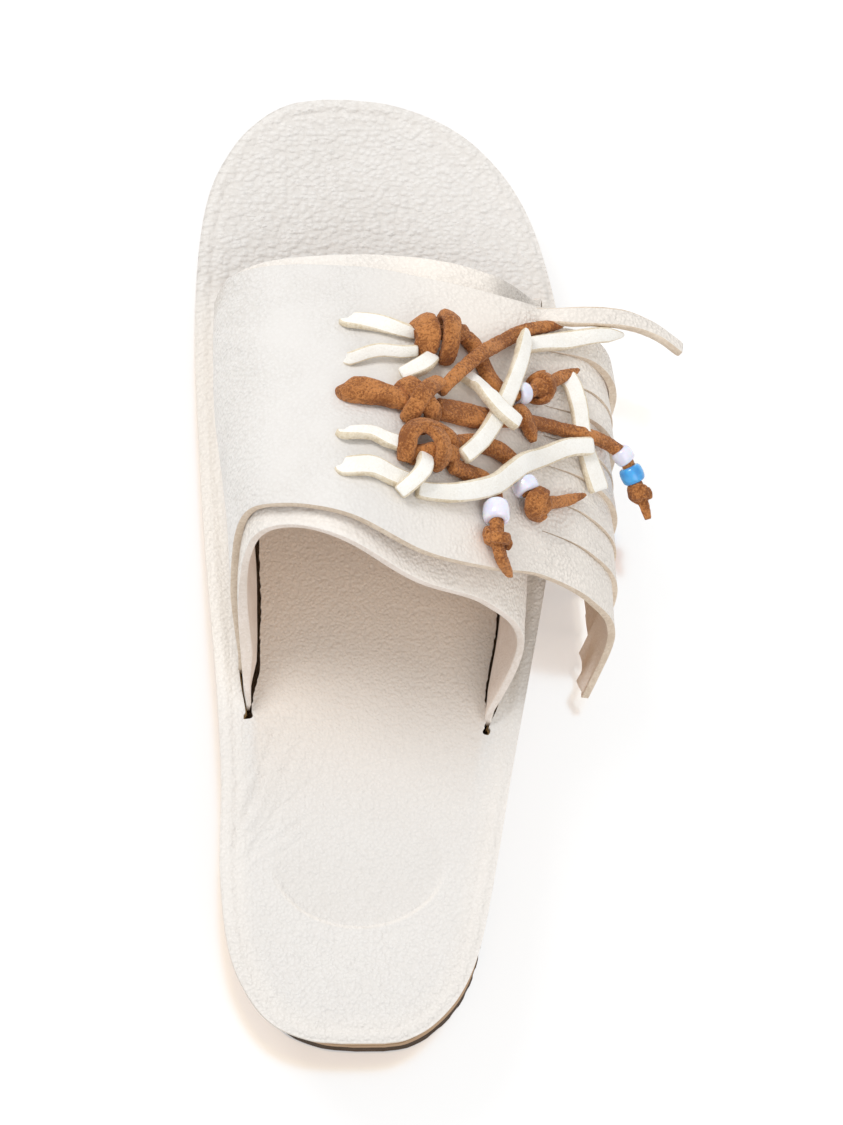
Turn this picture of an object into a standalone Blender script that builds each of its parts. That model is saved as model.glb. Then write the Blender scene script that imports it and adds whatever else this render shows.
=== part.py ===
"""Platform slide sandal, right shoe, standing on its sole.

All tables are in millimetres. x runs to the medial side, y to the heel, z up.
The origin is on the floor under the middle of the sole.
"""

import math

import bmesh
import bpy
from mathutils import Vector

MM = 0.001
GAP = 0.3  # between pieces that touch

# --- sole ---------------------------------------------------------------
# One row for each cross-section from toe tip to heel tip.
OUTLINE_COLUMNS = ("y", "lateral", "medial")
OUTLINE = (
    (-129.0, 8.0, 14.0),
    (-127.6, -3.5, 23.0),
    (-123.3, -16.0, 31.0),
    (-116.0, -27.0, 38.2),
    (-104.0, -37.0, 44.4),
    (-87.0, -44.0, 47.6),
    (-62.0, -48.6, 48.8),
    (-30.0, -47.6, 47.7),
    (2.0, -43.0, 46.0),
    (34.0, -36.8, 43.6),
    (60.0, -31.7, 42.4),
    (84.0, -27.3, 42.8),
    (104.0, -23.0, 40.8),
    (116.0, -18.0, 36.2),
    (124.0, -11.0, 29.6),
    (128.0, -4.0, 20.5),
    (129.0, 2.0, 12.0),
)
SECTIONS = 40  # lofted cross-sections along the sole
ACROSS = (0.045, 0.1, 0.17, 0.3, 0.5, 0.7, 0.83, 0.9, 0.955)  # shares of the footbed's width
WEDGE_ACROSS = (0.1, 0.3, 0.5, 0.7, 0.9)

# Heights of the layer boundaries over the floor, a row for each place along the foot.
LAYER_COLUMNS = ("y", "tread", "outsole_top", "lower_top", "middle_top", "wedge_top", "footbed_top")
LAYERS = (
    (-129.0, 5.5, 9.5, 12.6, 15.4, 18.0, 21.0),
    (-110.0, 1.6, 6.0, 9.4, 12.4, 15.2, 18.2),
    (-92.0, 0.0, 4.9, 8.5, 11.6, 14.6, 17.6),
    (-60.0, 0.0, 5.0, 8.8, 12.2, 15.6, 18.6),
    (-25.0, 0.0, 5.6, 11.0, 15.8, 20.4, 23.4),
    (15.0, 0.0, 6.4, 14.0, 20.8, 26.6, 29.6),
    (50.0, 0.0, 6.8, 16.0, 24.6, 31.2, 34.2),
    (90.0, 0.0, 7.0, 16.8, 26.3, 33.1, 36.1),
    (129.0, 0.0, 7.0, 16.8, 26.6, 33.5, 36.5),
)
WALL_TAPER = math.tan(math.radians(3.0))  # the sides lean in towards the floor
FOOTBED_LIP = 0.6  # the leather stands this far past the foam

GROOVE_PITCH = 11.0
GROOVE_WIDTH = 3.2
GROOVE_DEPTH = 1.8
GROOVE_FIRST = -96.0
GROOVE_COUNT = 20

HEEL_DISH = 1.6  # depth of the heel seat
WING_LIFT = 4.5  # the leather outside each slit is drawn up by the strap
WING_WIDTH = 10.0
WING_MIDDLE = 18.0
WING_REACH = 46.0

# --- upper --------------------------------------------------------------
LEATHER = 2.0
# Slit centre lines in the footbed, front to rear: (y, x).
MEDIAL_SLIT = ((-73.0, 41.0), (-40.0, 38.0), (0.0, 35.3), (43.5, 34.2))
LATERAL_SLIT = ((-72.4, -42.7), (-30.0, -38.0), (15.0, -30.2), (48.0, -26.6))
MEDIAL_STACK = 0.75  # half the distance between the two leathers in the medial slit
BURY = 5.6  # how deep the strap goes below the footbed's face
SLIT_CLEAR = 0.35

# Middle surface of the inner band. Each key point along the arch has a row of (x, z) at
# four stations along the foot, then the y of the band's front and rear edges there.
STATIONS = (-78.0, -40.0, 0.0, 45.0)
INNER_BAND = (
    ("wall_medial", (41.3, 28.0), (42.0, 40.0), (38.6, 52.0), (37.4, 54.0), -72.5, 19.0),
    ("shoulder_medial", (37.0, 37.5), (37.6, 54.0), (35.6, 72.0), (35.4, 80.0), -75.0, 7.0),
    ("top_medial", (24.0, 43.5), (26.0, 64.0), (27.0, 83.0), (27.0, 93.0), -76.5, 5.0),
    ("crown", (4.0, 45.5), (9.0, 68.0), (13.0, 87.5), (13.0, 98.0), -77.0, 9.5),
    ("slope_lateral", (-16.0, 43.0), (-11.0, 63.0), (-6.0, 77.0), (-5.0, 85.0), -76.0, 18.0),
    ("shoulder_lateral", (-32.0, 37.0), (-29.0, 52.5), (-24.0, 63.0), (-24.0, 71.0), -75.5, 21.0),
    ("wall_lateral", (-41.5, 27.5), (-39.6, 39.0), (-35.5, 48.0), (-33.0, 52.0), -73.5, 27.0),
)
OUTER_BAND = (
    ("wall_medial", (43.6, 28.5), (44.6, 41.0), (41.2, 53.0), (40.0, 55.0), -72.0, 13.0),
    ("shoulder_medial", (39.0, 39.8), (40.4, 56.4), (38.6, 76.0), (38.0, 84.0), -70.0, 0.5),
    ("top_medial", (25.0, 46.6), (27.6, 67.4), (28.6, 89.0), (28.0, 97.0), -68.0, 0.0),
    ("crown", (4.0, 48.8), (9.0, 71.8), (12.0, 92.5), (12.0, 101.0), -67.5, 4.0),
    ("slope_lateral", (-17.0, 46.4), (-12.0, 67.4), (-7.0, 84.5), (-7.0, 91.0), -67.0, 12.0),
    ("shoulder_lateral", (-33.4, 40.4), (-30.0, 57.6), (-25.0, 71.5), (-25.0, 78.0), -66.5, 13.5),
    ("cut", (-43.0, 37.0), (-41.0, 49.0), (-38.5, 60.0), (-38.0, 64.0), -65.5, 12.5),
    ("shelf", (-54.0, 34.0), (-54.5, 40.0), (-52.0, 48.0), (-52.0, 50.0), -63.0, 16.5),
    ("bulge", (-60.2, 25.0), (-60.5, 28.0), (-60.3, 31.0), (-59.5, 32.0), -57.0, 22.0),
    ("tip", (-57.0, 13.0), (-56.5, 13.5), (-56.0, 13.0), (-55.5, 13.0), -47.0, 35.0),
)
ARCH_STEPS = 3  # mesh steps between two key points

# Fringe strips cut in the outer band, front to rear: share of the width, how far the tip is
# shifted outwards, rearwards and upwards.
FRINGE_COLUMNS = ("width", "tip_out", "tip_back", "tip_up")
FRINGE = (
    (5.0, 24.0, -13.0, 17.0),
    (8.0, 1.0, 2.0, 5.0),
    (8.5, -2.0, 0.0, 1.0),
    (8.0, 0.5, 0.0, 3.0),
    (9.0, -1.5, -0.5, 0.0),
    (8.5, 0.5, 0.5, 2.0),
    (9.5, -1.0, 0.0, 0.5),
    (9.5, 0.0, 0.5, 1.5),
    (12.0, 0.5, 0.0, 0.0),
)
FRINGE_CUT = 0.7  # width of a cut
BAND_ROWS = 12  # rows across the inner band


# --- laces --------------------------------------------------------------
LACE = 3.2  # diameter of a cord
ON = LACE / 2 + GAP  # centre line over the leather it lies on
OVER = ON + LACE + GAP  # centre line where it crosses another cord
OVER_TWO = OVER + LACE + GAP
CORD_STEP = 2.2  # diameters between two points of a cord
CORD_BORE = 0.9  # room round a cord inside a bead
KNOT_BORE = 1.2

# Routes from the inner end to the bare tip, each point (base, x, y, up). up is the height of
# the centre line over the outer band where base is "strap", or over the floor.
BARS = {
    "bar_white_front_1": (
        ("strap", 9.3, -54.0, ON), ("strap", 3.0, -53.0, ON + 0.6), ("strap", -3.4, -51.0, ON + 1.2),
    ),
    "bar_white_front_2": (
        ("strap", 9.7, -42.0, ON), ("strap", 3.4, -44.0, ON + 1.4), ("strap", -3.2, -44.0, ON + 1.2),
    ),
    "bar_brown_middle": (
        ("strap", 10.5, -32.0, ON), ("strap", 5.0, -31.2, ON + 0.6), ("strap", -0.4, -29.8, ON + 1.2),
    ),
    "bar_white_rear_1": (
        ("strap", 11.7, -18.8, ON), ("strap", 6.0, -19.0, ON + 0.6), ("strap", 1.6, -17.0, ON + 1.2),
    ),
    "bar_white_rear_2": (
        ("strap", 12.0, -9.0, ON), ("strap", 6.0, -9.2, ON + 0.8), ("strap", 0.6, -7.0, ON),
    ),
    "loop_white_front": (
        ("strap", -8.6, -40.2, ON + 1.5), ("strap", -6.2, -38.6, ON + 1.5), ("strap", -2.7, -36.8, ON),
    ),
    "loop_white_rear": (
        ("strap", -7.4, -9.8, ON + 1.8), ("strap", -5.4, -7.4, ON + 1.8), ("strap", -0.8, -2.4, ON),
    ),
    "tail_brown_rear": (
        ("strap", -43.0, -5.6, 3.4), ("strap", -46.6, -7.0, ON + 0.4), ("strap", -51.6, -9.2, ON + 0.2),
    ),
    "strand_white_side": (
        ("strap", -49.0, -41.5, ON), ("strap", -50.4, -37.4, ON + 0.8),
        ("strap", -50.8, -30.5, OVER), ("strap", -50.8, -28.4, OVER),
    ),
}
LACES = {
    "lace_brown_front": (
        ("strap", -19.6, -50.4, ON + 0.8), ("strap", -22.0, -48.8, ON), ("strap", -24.0, -44.2, ON),
        ("strap", -26.8, -38.6, ON), ("strap", -30.4, -35.8, ON), ("strap", -34.8, -36.0, 3.8),
        ("strap", -40.2, -38.8, 4.8), ("strap", -45.6, -43.2, ON + 0.8), ("strap", -51.0, -46.4, ON + 0.3),
    ),
    "lace_brown_long": (
        ("strap", -12.4, -32.4, ON + 2.4), ("strap", -15.8, -36.4, OVER), ("strap", -20.0, -41.2, OVER),
        ("strap", -24.4, -45.6, OVER), ("strap", -30.0, -50.6, ON + 0.8), ("strap", -35.4, -54.8, ON),
        ("strap", -41.0, -57.4, ON + 0.2), ("strap", -47.4, -58.8, ON + 0.8),
    ),
    "lace_brown_side": (
        ("strap", -11.6, -27.6, ON + 1.0), ("strap", -17.8, -27.4, ON), ("strap", -24.0, -27.2, ON),
        ("strap", -30.0, -28.2, ON), ("strap", -38.8, -29.0, ON), ("strap", -46.0, -28.6, ON),
        ("strap", -52.5, -28.2, ON + 0.4), ("floor", -58.4, -27.4, 42.0), ("floor", -62.9, -24.6, 39.8),
        ("floor", -65.4, -20.0, 37.8), ("floor", -67.8, -15.0, 36.0), ("floor", -69.8, -8.8, 34.0),
    ),
    "lace_brown_rear_1": (
        ("strap", -15.4, -17.8, ON + 0.8), ("strap", -22.2, -19.6, ON), ("strap", -28.4, -18.4, ON),
        ("strap", -32.0, -15.4, ON), ("strap", -34.5, -9.6, 4.0), ("strap", -35.5, -7.2, 4.4),
    ),
    "lace_brown_rear_2": (
        ("strap", -14.4, -12.0, ON + 0.8), ("strap", -19.0, -10.8, ON), ("strap", -23.6, -9.4, ON),
        ("strap", -26.0, -6.2, ON), ("strap", -26.2, -0.7, 4.6), ("strap", -26.2, 6.6, 4.6),
        ("strap", -27.2, 11.2, 3.8), ("floor", -29.8, 15.0, 71.5),
    ),
    "lace_white_front": (
        ("strap", -13.4, -34.2, ON), ("strap", -15.4, -36.4, ON), ("strap", -18.0, -39.3, ON),
        ("strap", -22.2, -36.6, ON + 1.8), ("strap", -25.0, -32.6, OVER_TWO - 1.0),
        ("strap", -28.2, -28.8, OVER_TWO), ("strap", -32.7, -25.3, OVER_TWO - 0.4),
    ),
    "lace_white_cross": (
        ("strap", -17.8, -14.2, OVER), ("strap", -20.2, -16.6, OVER), ("strap", -23.6, -20.8, OVER),
        ("strap", -27.6, -27.8, OVER), ("strap", -31.2, -35.6, OVER + 1.0), ("strap", -34.4, -44.4, OVER - 0.4),
        ("strap", -36.0, -51.0, OVER + 0.4), ("strap", -40.2, -52.2, ON + 1.0), ("strap", -47.4, -54.2, ON + 1.4),
        ("floor", -55.6, -56.0, 44.8), ("floor", -63.6, -57.2, 41.2),
    ),
    "lace_white_rear": (
        ("strap", -5.6, -4.0, ON), ("strap", -9.4, -3.8, ON), ("strap", -16.4, -4.6, ON + 1.2),
        ("strap", -25.4, -7.6, OVER + 0.4), ("strap", -30.4, -12.0, OVER + 0.6), ("strap", -34.2, -15.4, OVER + 0.6),
        ("strap", -39.4, -19.0, ON + 1.6), ("strap", -46.4, -22.8, ON + 2.4), ("strap", -53.6, -24.6, ON + 2.4),
    ),
}
# Solid knots: x, y and height of the centre over the strap, then the half sizes along x, y and up.
KNOTS = {
    "knot_front": (-11.4, -47.8, 4.3, 7.6, 6.6, 4.0),
    "knot_middle": (-6.2, -28.2, 3.9, 5.0, 5.0, 3.5),
    "knot_rear": (-6.8, -15.8, 4.1, 7.6, 5.4, 3.8),
    "end_knot_rear_1": (-37.4, -4.0, 4.8, 4.7, 2.9, 4.4),
}
# Beads and end knots threaded on a lace: lace, number of its route point, radius, length, finish.
THREADED = {
    "bead_white_front": ("lace_brown_front", 5, 3.1, 3.4, "bead_white"),
    "end_knot_front": ("lace_brown_front", 6, 4.1, 6.4, "suede_brown"),
    "bead_white_side": ("lace_brown_side", 8, 3.2, 4.8, "bead_white"),
    "bead_blue_side": ("lace_brown_side", 9, 3.6, 5.0, "bead_blue"),
    "end_knot_side": ("lace_brown_side", 10, 3.2, 5.4, "suede_brown"),
    "bead_white_rear_1": ("lace_brown_rear_1", 4, 3.7, 3.8, "bead_white"),
    "bead_white_rear_2": ("lace_brown_rear_2", 4, 4.3, 5.8, "bead_white"),
    "end_knot_rear_2": ("lace_brown_rear_2", 5, 4.2, 5.6, "suede_brown"),
}

# --- curves and tables --------------------------------------------------
def hermite(a, b, slope_a, slope_b, t):
    t2 = t * t
    t3 = t2 * t
    return (2 * t3 - 3 * t2 + 1) * a + (t3 - 2 * t2 + t) * slope_a + (3 * t2 - 2 * t3) * b + (t3 - t2) * slope_b


def smooth(xs, values, x):
    """Smooth curve through (xs, values), flat beyond the ends."""
    x = min(max(x, xs[0]), xs[-1])
    last = len(xs) - 1
    i = max(k for k in range(last) if xs[k] <= x)
    span = xs[i + 1] - xs[i]
    step = (values[i + 1] - values[i]) / span
    before = (values[i + 1] - values[i - 1]) / (xs[i + 1] - xs[i - 1]) if i > 0 else step
    after = (values[i + 2] - values[i]) / (xs[i + 2] - xs[i]) if i + 2 <= last else step
    return hermite(values[i], values[i + 1], before * span, after * span, (x - xs[i]) / span)


def column(table, columns, name):
    return [row[columns.index(name)] for row in table]


def layer_height(name, y):
    return smooth(column(LAYERS, LAYER_COLUMNS, "y"), column(LAYERS, LAYER_COLUMNS, name), y)


def outline_at(u):
    """(y, lateral x, medial x) of the sole's edge, with u from 0 at the toe to 1 at the heel."""
    places = list(range(len(OUTLINE)))
    return [smooth(places, column(OUTLINE, OUTLINE_COLUMNS, name), u * places[-1]) for name in OUTLINE_COLUMNS]


def ramp(value):
    value = min(max(value, 0.0), 1.0)
    return value * value * (3 - 2 * value)


def heel_dish(x, y, lateral, medial):
    """Depth of the heel seat, which the wedge and the footbed share."""
    across = abs(x - (lateral + medial) / 2) / max((medial - lateral) / 2, 1.0)
    return HEEL_DISH * ramp((y - 30) / 50) * ramp((129 - y) / 30) * (1 - min(across, 1.0) ** 2)


def wing(x, y, lateral, medial):
    """Lift of the footbed's edge beside the slits."""
    edge = min(x - lateral, medial - x)
    return WING_LIFT * ramp(1 - abs(y - WING_MIDDLE) / WING_REACH) * ramp(1 - edge / WING_WIDTH)


# --- meshes -------------------------------------------------------------
def material(name, colour, roughness):
    made = bpy.data.materials.new(name)
    made.use_nodes = True
    shader = made.node_tree.nodes["Principled BSDF"]
    shader.inputs["Base Color"].default_value = (*colour, 1.0)
    shader.inputs["Roughness"].default_value = roughness
    shader.inputs["Metallic"].default_value = 0.0
    return made


def add_object(name, bm, finish, smooth_angle=35.0):
    bmesh.ops.scale(bm, vec=(MM, MM, MM), verts=bm.verts)
    mesh = bpy.data.meshes.new(name)
    bm.to_mesh(mesh)
    bm.free()
    mesh.shade_smooth()
    mesh.set_sharp_from_angle(angle=math.radians(smooth_angle))
    made = bpy.data.objects.new(name, mesh)
    made.data.materials.append(finish)
    bpy.context.scene.collection.objects.link(made)
    return made


def loft(bm, rings):
    """Closed body through rings that have the same number of points."""
    rows = [[bm.verts.new(point) for point in ring] for ring in rings]
    count = len(rows[0])
    for first, second in zip(rows, rows[1:]):
        for k in range(count):
            following = (k + 1) % count
            bm.faces.new((first[k], first[following], second[following], second[k]))
    bm.faces.new(rows[0][::-1])
    bm.faces.new(rows[-1])
    bmesh.ops.recalc_face_normals(bm, faces=bm.faces)


def sole_stations():
    return [outline_at(i / SECTIONS) for i in range(SECTIONS + 1)]


def inset_at(depth):
    return WALL_TAPER * depth


def foam_layer(name, bottom, top, finish, dished=False):
    """One foam sheet between two layer boundaries; the top one carries the heel seat."""
    bm = bmesh.new()
    rings = []
    shares = WEDGE_ACROSS if dished else ()
    for y, lateral, medial in sole_stations():
        upper = layer_height(top, y) - GAP / 2
        lower = layer_height(bottom, y) + GAP / 2
        face = layer_height("wedge_top", y)
        half = (medial - lateral) / 2
        high = min(inset_at(face - upper), half * 0.5)
        low = min(inset_at(face - lower), half * 0.5)
        ring = [(lateral + high, y, upper), (lateral + low, y, lower), (medial - low, y, lower)]
        ring.append((medial - high, y, upper))
        for share in shares[::-1]:
            x = lateral + (medial - lateral) * share
            ring.append((x, y, upper - heel_dish(x, y, lateral, medial)))
        rings.append(ring)
    loft(bm, rings)
    return add_object(name, bm, finish)


def outsole_stations():
    """Sole sections with four more at each tread groove; the last value is the groove's depth."""
    plain = sole_stations()
    ys = [row[0] for row in plain]
    rows = [(*row, 0.0) for row in plain]
    for k in range(GROOVE_COUNT):
        middle = GROOVE_FIRST + k * GROOVE_PITCH
        half = GROOVE_WIDTH / 2
        rows = [row for row in rows if abs(row[0] - middle) > half + 0.4]
        for offset, depth in ((-half, 0.0), (-half + 0.5, GROOVE_DEPTH), (half - 0.5, GROOVE_DEPTH), (half, 0.0)):
            y = middle + offset
            lateral = smooth(ys, [row[1] for row in plain], y)
            medial = smooth(ys, [row[2] for row in plain], y)
            rows.append((y, lateral, medial, depth))
    return sorted(rows)


def outsole(finish):
    bm = bmesh.new()
    rings = []
    edge = 1.2
    for y, lateral, medial, depth in outsole_stations():
        upper = layer_height("outsole_top", y) - GAP / 2
        lower = layer_height("tread", y) + depth
        face = layer_height("wedge_top", y)
        half = (medial - lateral) / 2
        high = min(inset_at(face - upper), half * 0.4)
        low = min(inset_at(face - lower), half * 0.4)
        round_off = min(edge, half * 0.3)
        rings.append(
            (
                (lateral + high, y, upper),
                (lateral + low, y, max(lower, layer_height("tread", y) + edge)),
                (lateral + low + round_off, y, lower),
                (medial - low - round_off, y, lower),
                (medial - low, y, max(lower, layer_height("tread", y) + edge)),
                (medial - high, y, upper),
            )
        )
    loft(bm, rings)
    return add_object("outsole", bm, finish)


def footbed(finish):
    """Leather sheet with a rounded cut edge, dished at the heel and drawn up beside the slits."""
    bm = bmesh.new()
    rings = []
    for y, lateral, medial in sole_stations():
        face = layer_height("footbed_top", y)
        under = layer_height("wedge_top", y) + GAP / 2
        top = []
        bottom = []
        for share in (0.01, *ACROSS, 0.99):
            x = lateral + (medial - lateral) * share
            change = wing(x, y, lateral, medial) - heel_dish(x, y, lateral, medial)
            top.append((x, y, face + change))
            bottom.append((x, y, under + change))
        middle = (face + under) / 2 + wing(lateral, y, lateral, medial)
        rings.append(
            top + [(medial + FOOTBED_LIP, y, middle)] + bottom[::-1] + [(lateral - FOOTBED_LIP, y, middle)]
        )
    loft(bm, rings)
    return add_object("footbed", bm, finish)


# --- the strap ----------------------------------------------------------
def slit_x(slit, y):
    return smooth([row[0] for row in slit], [row[1] for row in slit], y)


def arch_point(band, share, y, ends):
    """Point of a band's middle surface; share runs from the medial end (0) to the lateral end (1)."""
    keys = []
    for row in band:
        xs = [place[0] for place in row[1:5]]
        zs = [place[1] for place in row[1:5]]
        keys.append((smooth(STATIONS, xs, y), smooth(STATIONS, zs, y)))
    medial, lateral = ends(y)
    keys = medial + keys + lateral
    places = list(range(len(keys)))
    at = share * places[-1]
    x = smooth(places, [key[0] for key in keys], at)
    z = smooth(places, [key[1] for key in keys], at)
    return Vector((x, y, z))


def root_points(slit, shift, y):
    """The buried end of a band and the point where it leaves the footbed."""
    x = slit_x(slit, y) + shift
    top = layer_height("footbed_top", y)
    return [(x, top - BURY), (x, top - 0.5), (x, top + 5.0)]


def inner_ends(y):
    medial = root_points(MEDIAL_SLIT, -MEDIAL_STACK, y)
    lateral = root_points(LATERAL_SLIT, 0.0, y)
    return medial, lateral[::-1]


def outer_ends(y):
    return root_points(MEDIAL_SLIT, MEDIAL_STACK, y), []


def edge_lines(band, before, after):
    """y of the front and the rear edge at each key point."""
    front = [before[0]] * before[2] + [row[5] for row in band] + [after[0]] * after[2]
    rear = [before[1]] * before[2] + [row[6] for row in band] + [after[1]] * after[2]
    return front, rear


def band_surface(band, ends, before, after, rows, columns):
    """Grid of points: one list for each column from medial to lateral, with a point for each row."""
    front, rear = edge_lines(band, before, after)
    places = list(range(len(front)))
    grid = []
    for i in range(columns + 1):
        share = i / columns
        y_front = smooth(places, front, share * places[-1])
        y_rear = smooth(places, rear, share * places[-1])
        grid.append([arch_point(band, share, y_front + (y_rear - y_front) * row, ends) for row in rows])
    return grid


def sheet(name, grid, keep, finish, shifts=None):
    """Leather sheet through a grid, with a Solidify wall."""
    bm = bmesh.new()
    verts = [[bm.verts.new(point) for point in line] for line in grid]
    for i in range(len(grid) - 1):
        for k in range(len(grid[0]) - 1):
            if keep(i, k):
                bm.faces.new((verts[i][k], verts[i][k + 1], verts[i + 1][k + 1], verts[i + 1][k]))
    loose = [vert for vert in bm.verts if not vert.link_faces]
    bmesh.ops.delete(bm, geom=loose, context="VERTS")
    made = add_object(name, bm, finish, 60.0)
    wall = made.modifiers.new("wall", "SOLIDIFY")
    wall.thickness = LEATHER * MM
    wall.offset = 0.0
    wall.use_even_offset = True
    return made


def inner_band(finish):
    before = (MEDIAL_SLIT[0][0], MEDIAL_SLIT[-1][0], 3)
    after = (LATERAL_SLIT[0][0], LATERAL_SLIT[-1][0], 3)
    rows = [k / BAND_ROWS for k in range(BAND_ROWS + 1)]
    columns = (len(INNER_BAND) + 5) * ARCH_STEPS
    grid = band_surface(INNER_BAND, inner_ends, before, after, rows, columns)
    return sheet("upper", grid, lambda i, k: True, finish)


def fringe_rows():
    """Row positions across the outer band: both sides of every cut."""
    total = sum(column(FRINGE, FRINGE_COLUMNS, "width"))
    half = FRINGE_CUT / 2
    edges = [0.0]
    reached = 0.0
    for width in column(FRINGE, FRINGE_COLUMNS, "width")[:-1]:
        reached += width
        edges += [(reached - half) / total, (reached + half) / total]
    return edges + [1.0]


def outer_band(finish):
    before = (MEDIAL_SLIT[0][0], MEDIAL_SLIT[-1][0], 3)
    rows = fringe_rows()
    points = len(OUTER_BAND) + 3
    columns = (points - 1) * ARCH_STEPS
    grid = band_surface(OUTER_BAND, outer_ends, before, (0.0, 0.0, 0), rows, columns)
    names = [row[0] for row in OUTER_BAND]
    cut_column = (names.index("cut") + 3) * ARCH_STEPS
    for i in range(cut_column, columns + 1):
        reach = (i - cut_column) / (columns - cut_column)
        for strip, (_, out, back, up) in enumerate(FRINGE):
            shift = Vector((-out * reach**1.5, back * reach**3, up * reach**1.5))
            for row in (2 * strip, 2 * strip + 1):
                grid[i][row] = grid[i][row] + shift
    return sheet("outer_band", grid, lambda i, k: i < cut_column or k % 2 == 0, finish)


def slit_cutter(name, slit, half_width, finish):
    """Long prism that follows a slit through the footbed and into the wedge."""
    front_y = slit[0][0]
    rear_y = slit[-1][0]
    bm = bmesh.new()
    steps = 16
    rings = []
    for k in range(steps + 1):
        y = front_y - SLIT_CLEAR - 1.0 + (rear_y - front_y + 2 * SLIT_CLEAR + 2.0) * k / steps
        x = slit_x(slit, y)
        top = layer_height("footbed_top", y) + 8.0
        low = layer_height("footbed_top", y) - BURY - 0.4
        rings.append(
            (
                (x - half_width, y, top),
                (x - half_width, y, low),
                (x + half_width, y, low),
                (x + half_width, y, top),
            )
        )
    loft(bm, rings)
    cutter = add_object(name, bm, finish)
    cutter.hide_render = True
    cutter.display_type = "WIRE"
    return cutter


def boolean(target, other, operation):
    made = target.modifiers.new(other.name, "BOOLEAN")
    made.operation = operation
    made.object = other
    made.solver = "EXACT"


# --- laces --------------------------------------------------------------
def strap_face(x, y):
    """(point, normal) of the outer band's outside over (x, y)."""
    low = 4.0 / (len(OUTER_BAND) + 2)
    high = 10.5 / (len(OUTER_BAND) + 2)
    for _ in range(24):
        middle = (low + high) / 2
        if arch_point(OUTER_BAND, middle, y, outer_ends).x > x:
            low = middle
        else:
            high = middle
    here = arch_point(OUTER_BAND, low, y, outer_ends)
    along = arch_point(OUTER_BAND, low, y + 1.0, outer_ends) - here
    across = here - arch_point(OUTER_BAND, low + 0.01, y, outer_ends)
    normal = across.cross(along).normalized()
    return here + Vector((0, 0, LEATHER / 2 / normal.z)), normal


def route_point(row):
    base, x, y, up = row
    if base == "floor":
        return Vector((x, y, up))
    point, normal = strap_face(x, y)
    return point + Vector((0, 0, up / normal.z))


def smooth_path(points, at):
    places = list(range(len(points)))
    return Vector([smooth(places, [point[axis] for point in points], at) for axis in range(3)])


def cord(name, route, finish):
    """Round cord along the smooth curve through its route's points."""
    points = [route_point(row) for row in route]
    fine = 40 * (len(points) - 1)
    dense = [smooth_path(points, k * (len(points) - 1) / fine) for k in range(fine + 1)]
    reached = [0.0]
    for first, second in zip(dense, dense[1:]):
        reached.append(reached[-1] + (second - first).length)
    steps = max(round(reached[-1] / (CORD_STEP * LACE)), 2)
    curve = bpy.data.curves.new(name, "CURVE")
    curve.dimensions = "3D"
    curve.bevel_depth = LACE / 2 * MM
    curve.bevel_resolution = 2
    curve.use_fill_caps = True
    line = curve.splines.new("POLY")
    line.points.add(steps)
    for k in range(steps + 1):
        wanted = reached[-1] * k / steps
        nearest = min(range(fine + 1), key=lambda i: abs(reached[i] - wanted))
        line.points[k].co = (*(dense[nearest] * MM), 1.0)
    curve.materials.append(finish)
    made = bpy.data.objects.new(name, curve)
    bpy.context.scene.collection.objects.link(made)
    return made


def knot(name, row, finish):
    x, y, up, half_x, half_y, half_up = row
    point, normal = strap_face(x, y)
    centre = point + Vector((0, 0, up / normal.z))
    across = Vector((0, 1, 0)).cross(normal).normalized()
    along = normal.cross(across)
    bm = bmesh.new()
    bmesh.ops.create_uvsphere(bm, u_segments=12, v_segments=7, radius=1.0)
    for vert in bm.verts:
        a, b, c = vert.co
        vert.co = centre + across * a * half_x + along * b * half_y + normal * c * half_up
    return add_object(name, bm, finish, 80.0)


def threaded(name, row, finish):
    """Ring round a lace: a bead or an end knot."""
    lace, place, radius, length, _ = row
    points = [route_point(point) for point in LACES[lace]]
    axis = (smooth_path(points, place + 0.2) - smooth_path(points, place - 0.2)).normalized()
    bore = LACE / 2 + (KNOT_BORE if name.startswith("end_knot") else CORD_BORE)
    bm = bmesh.new()
    # Half profile: radius over the axis and distance along it.
    wide = (bore + radius) / 2 + 0.4
    profile = ((bore, -length / 2), (wide, -length / 2), (radius, -length / 5))
    profile += tuple((r, -h) for r, h in profile[::-1])
    ring = [bm.verts.new((r, 0, h)) for r, h in profile]
    edges = [bm.edges.new((ring[k], ring[(k + 1) % len(ring)])) for k in range(len(ring))]
    bmesh.ops.spin(
        bm, geom=ring + edges, cent=(0, 0, 0), axis=(0, 0, 1), angle=math.tau, steps=12, use_merge=True
    )
    bmesh.ops.recalc_face_normals(bm, faces=bm.faces)
    turn = axis.to_track_quat("Z", "Y").to_matrix()
    for vert in bm.verts:
        vert.co = turn @ vert.co + points[place]
    return add_object(name, bm, finish, 40.0)


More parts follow.
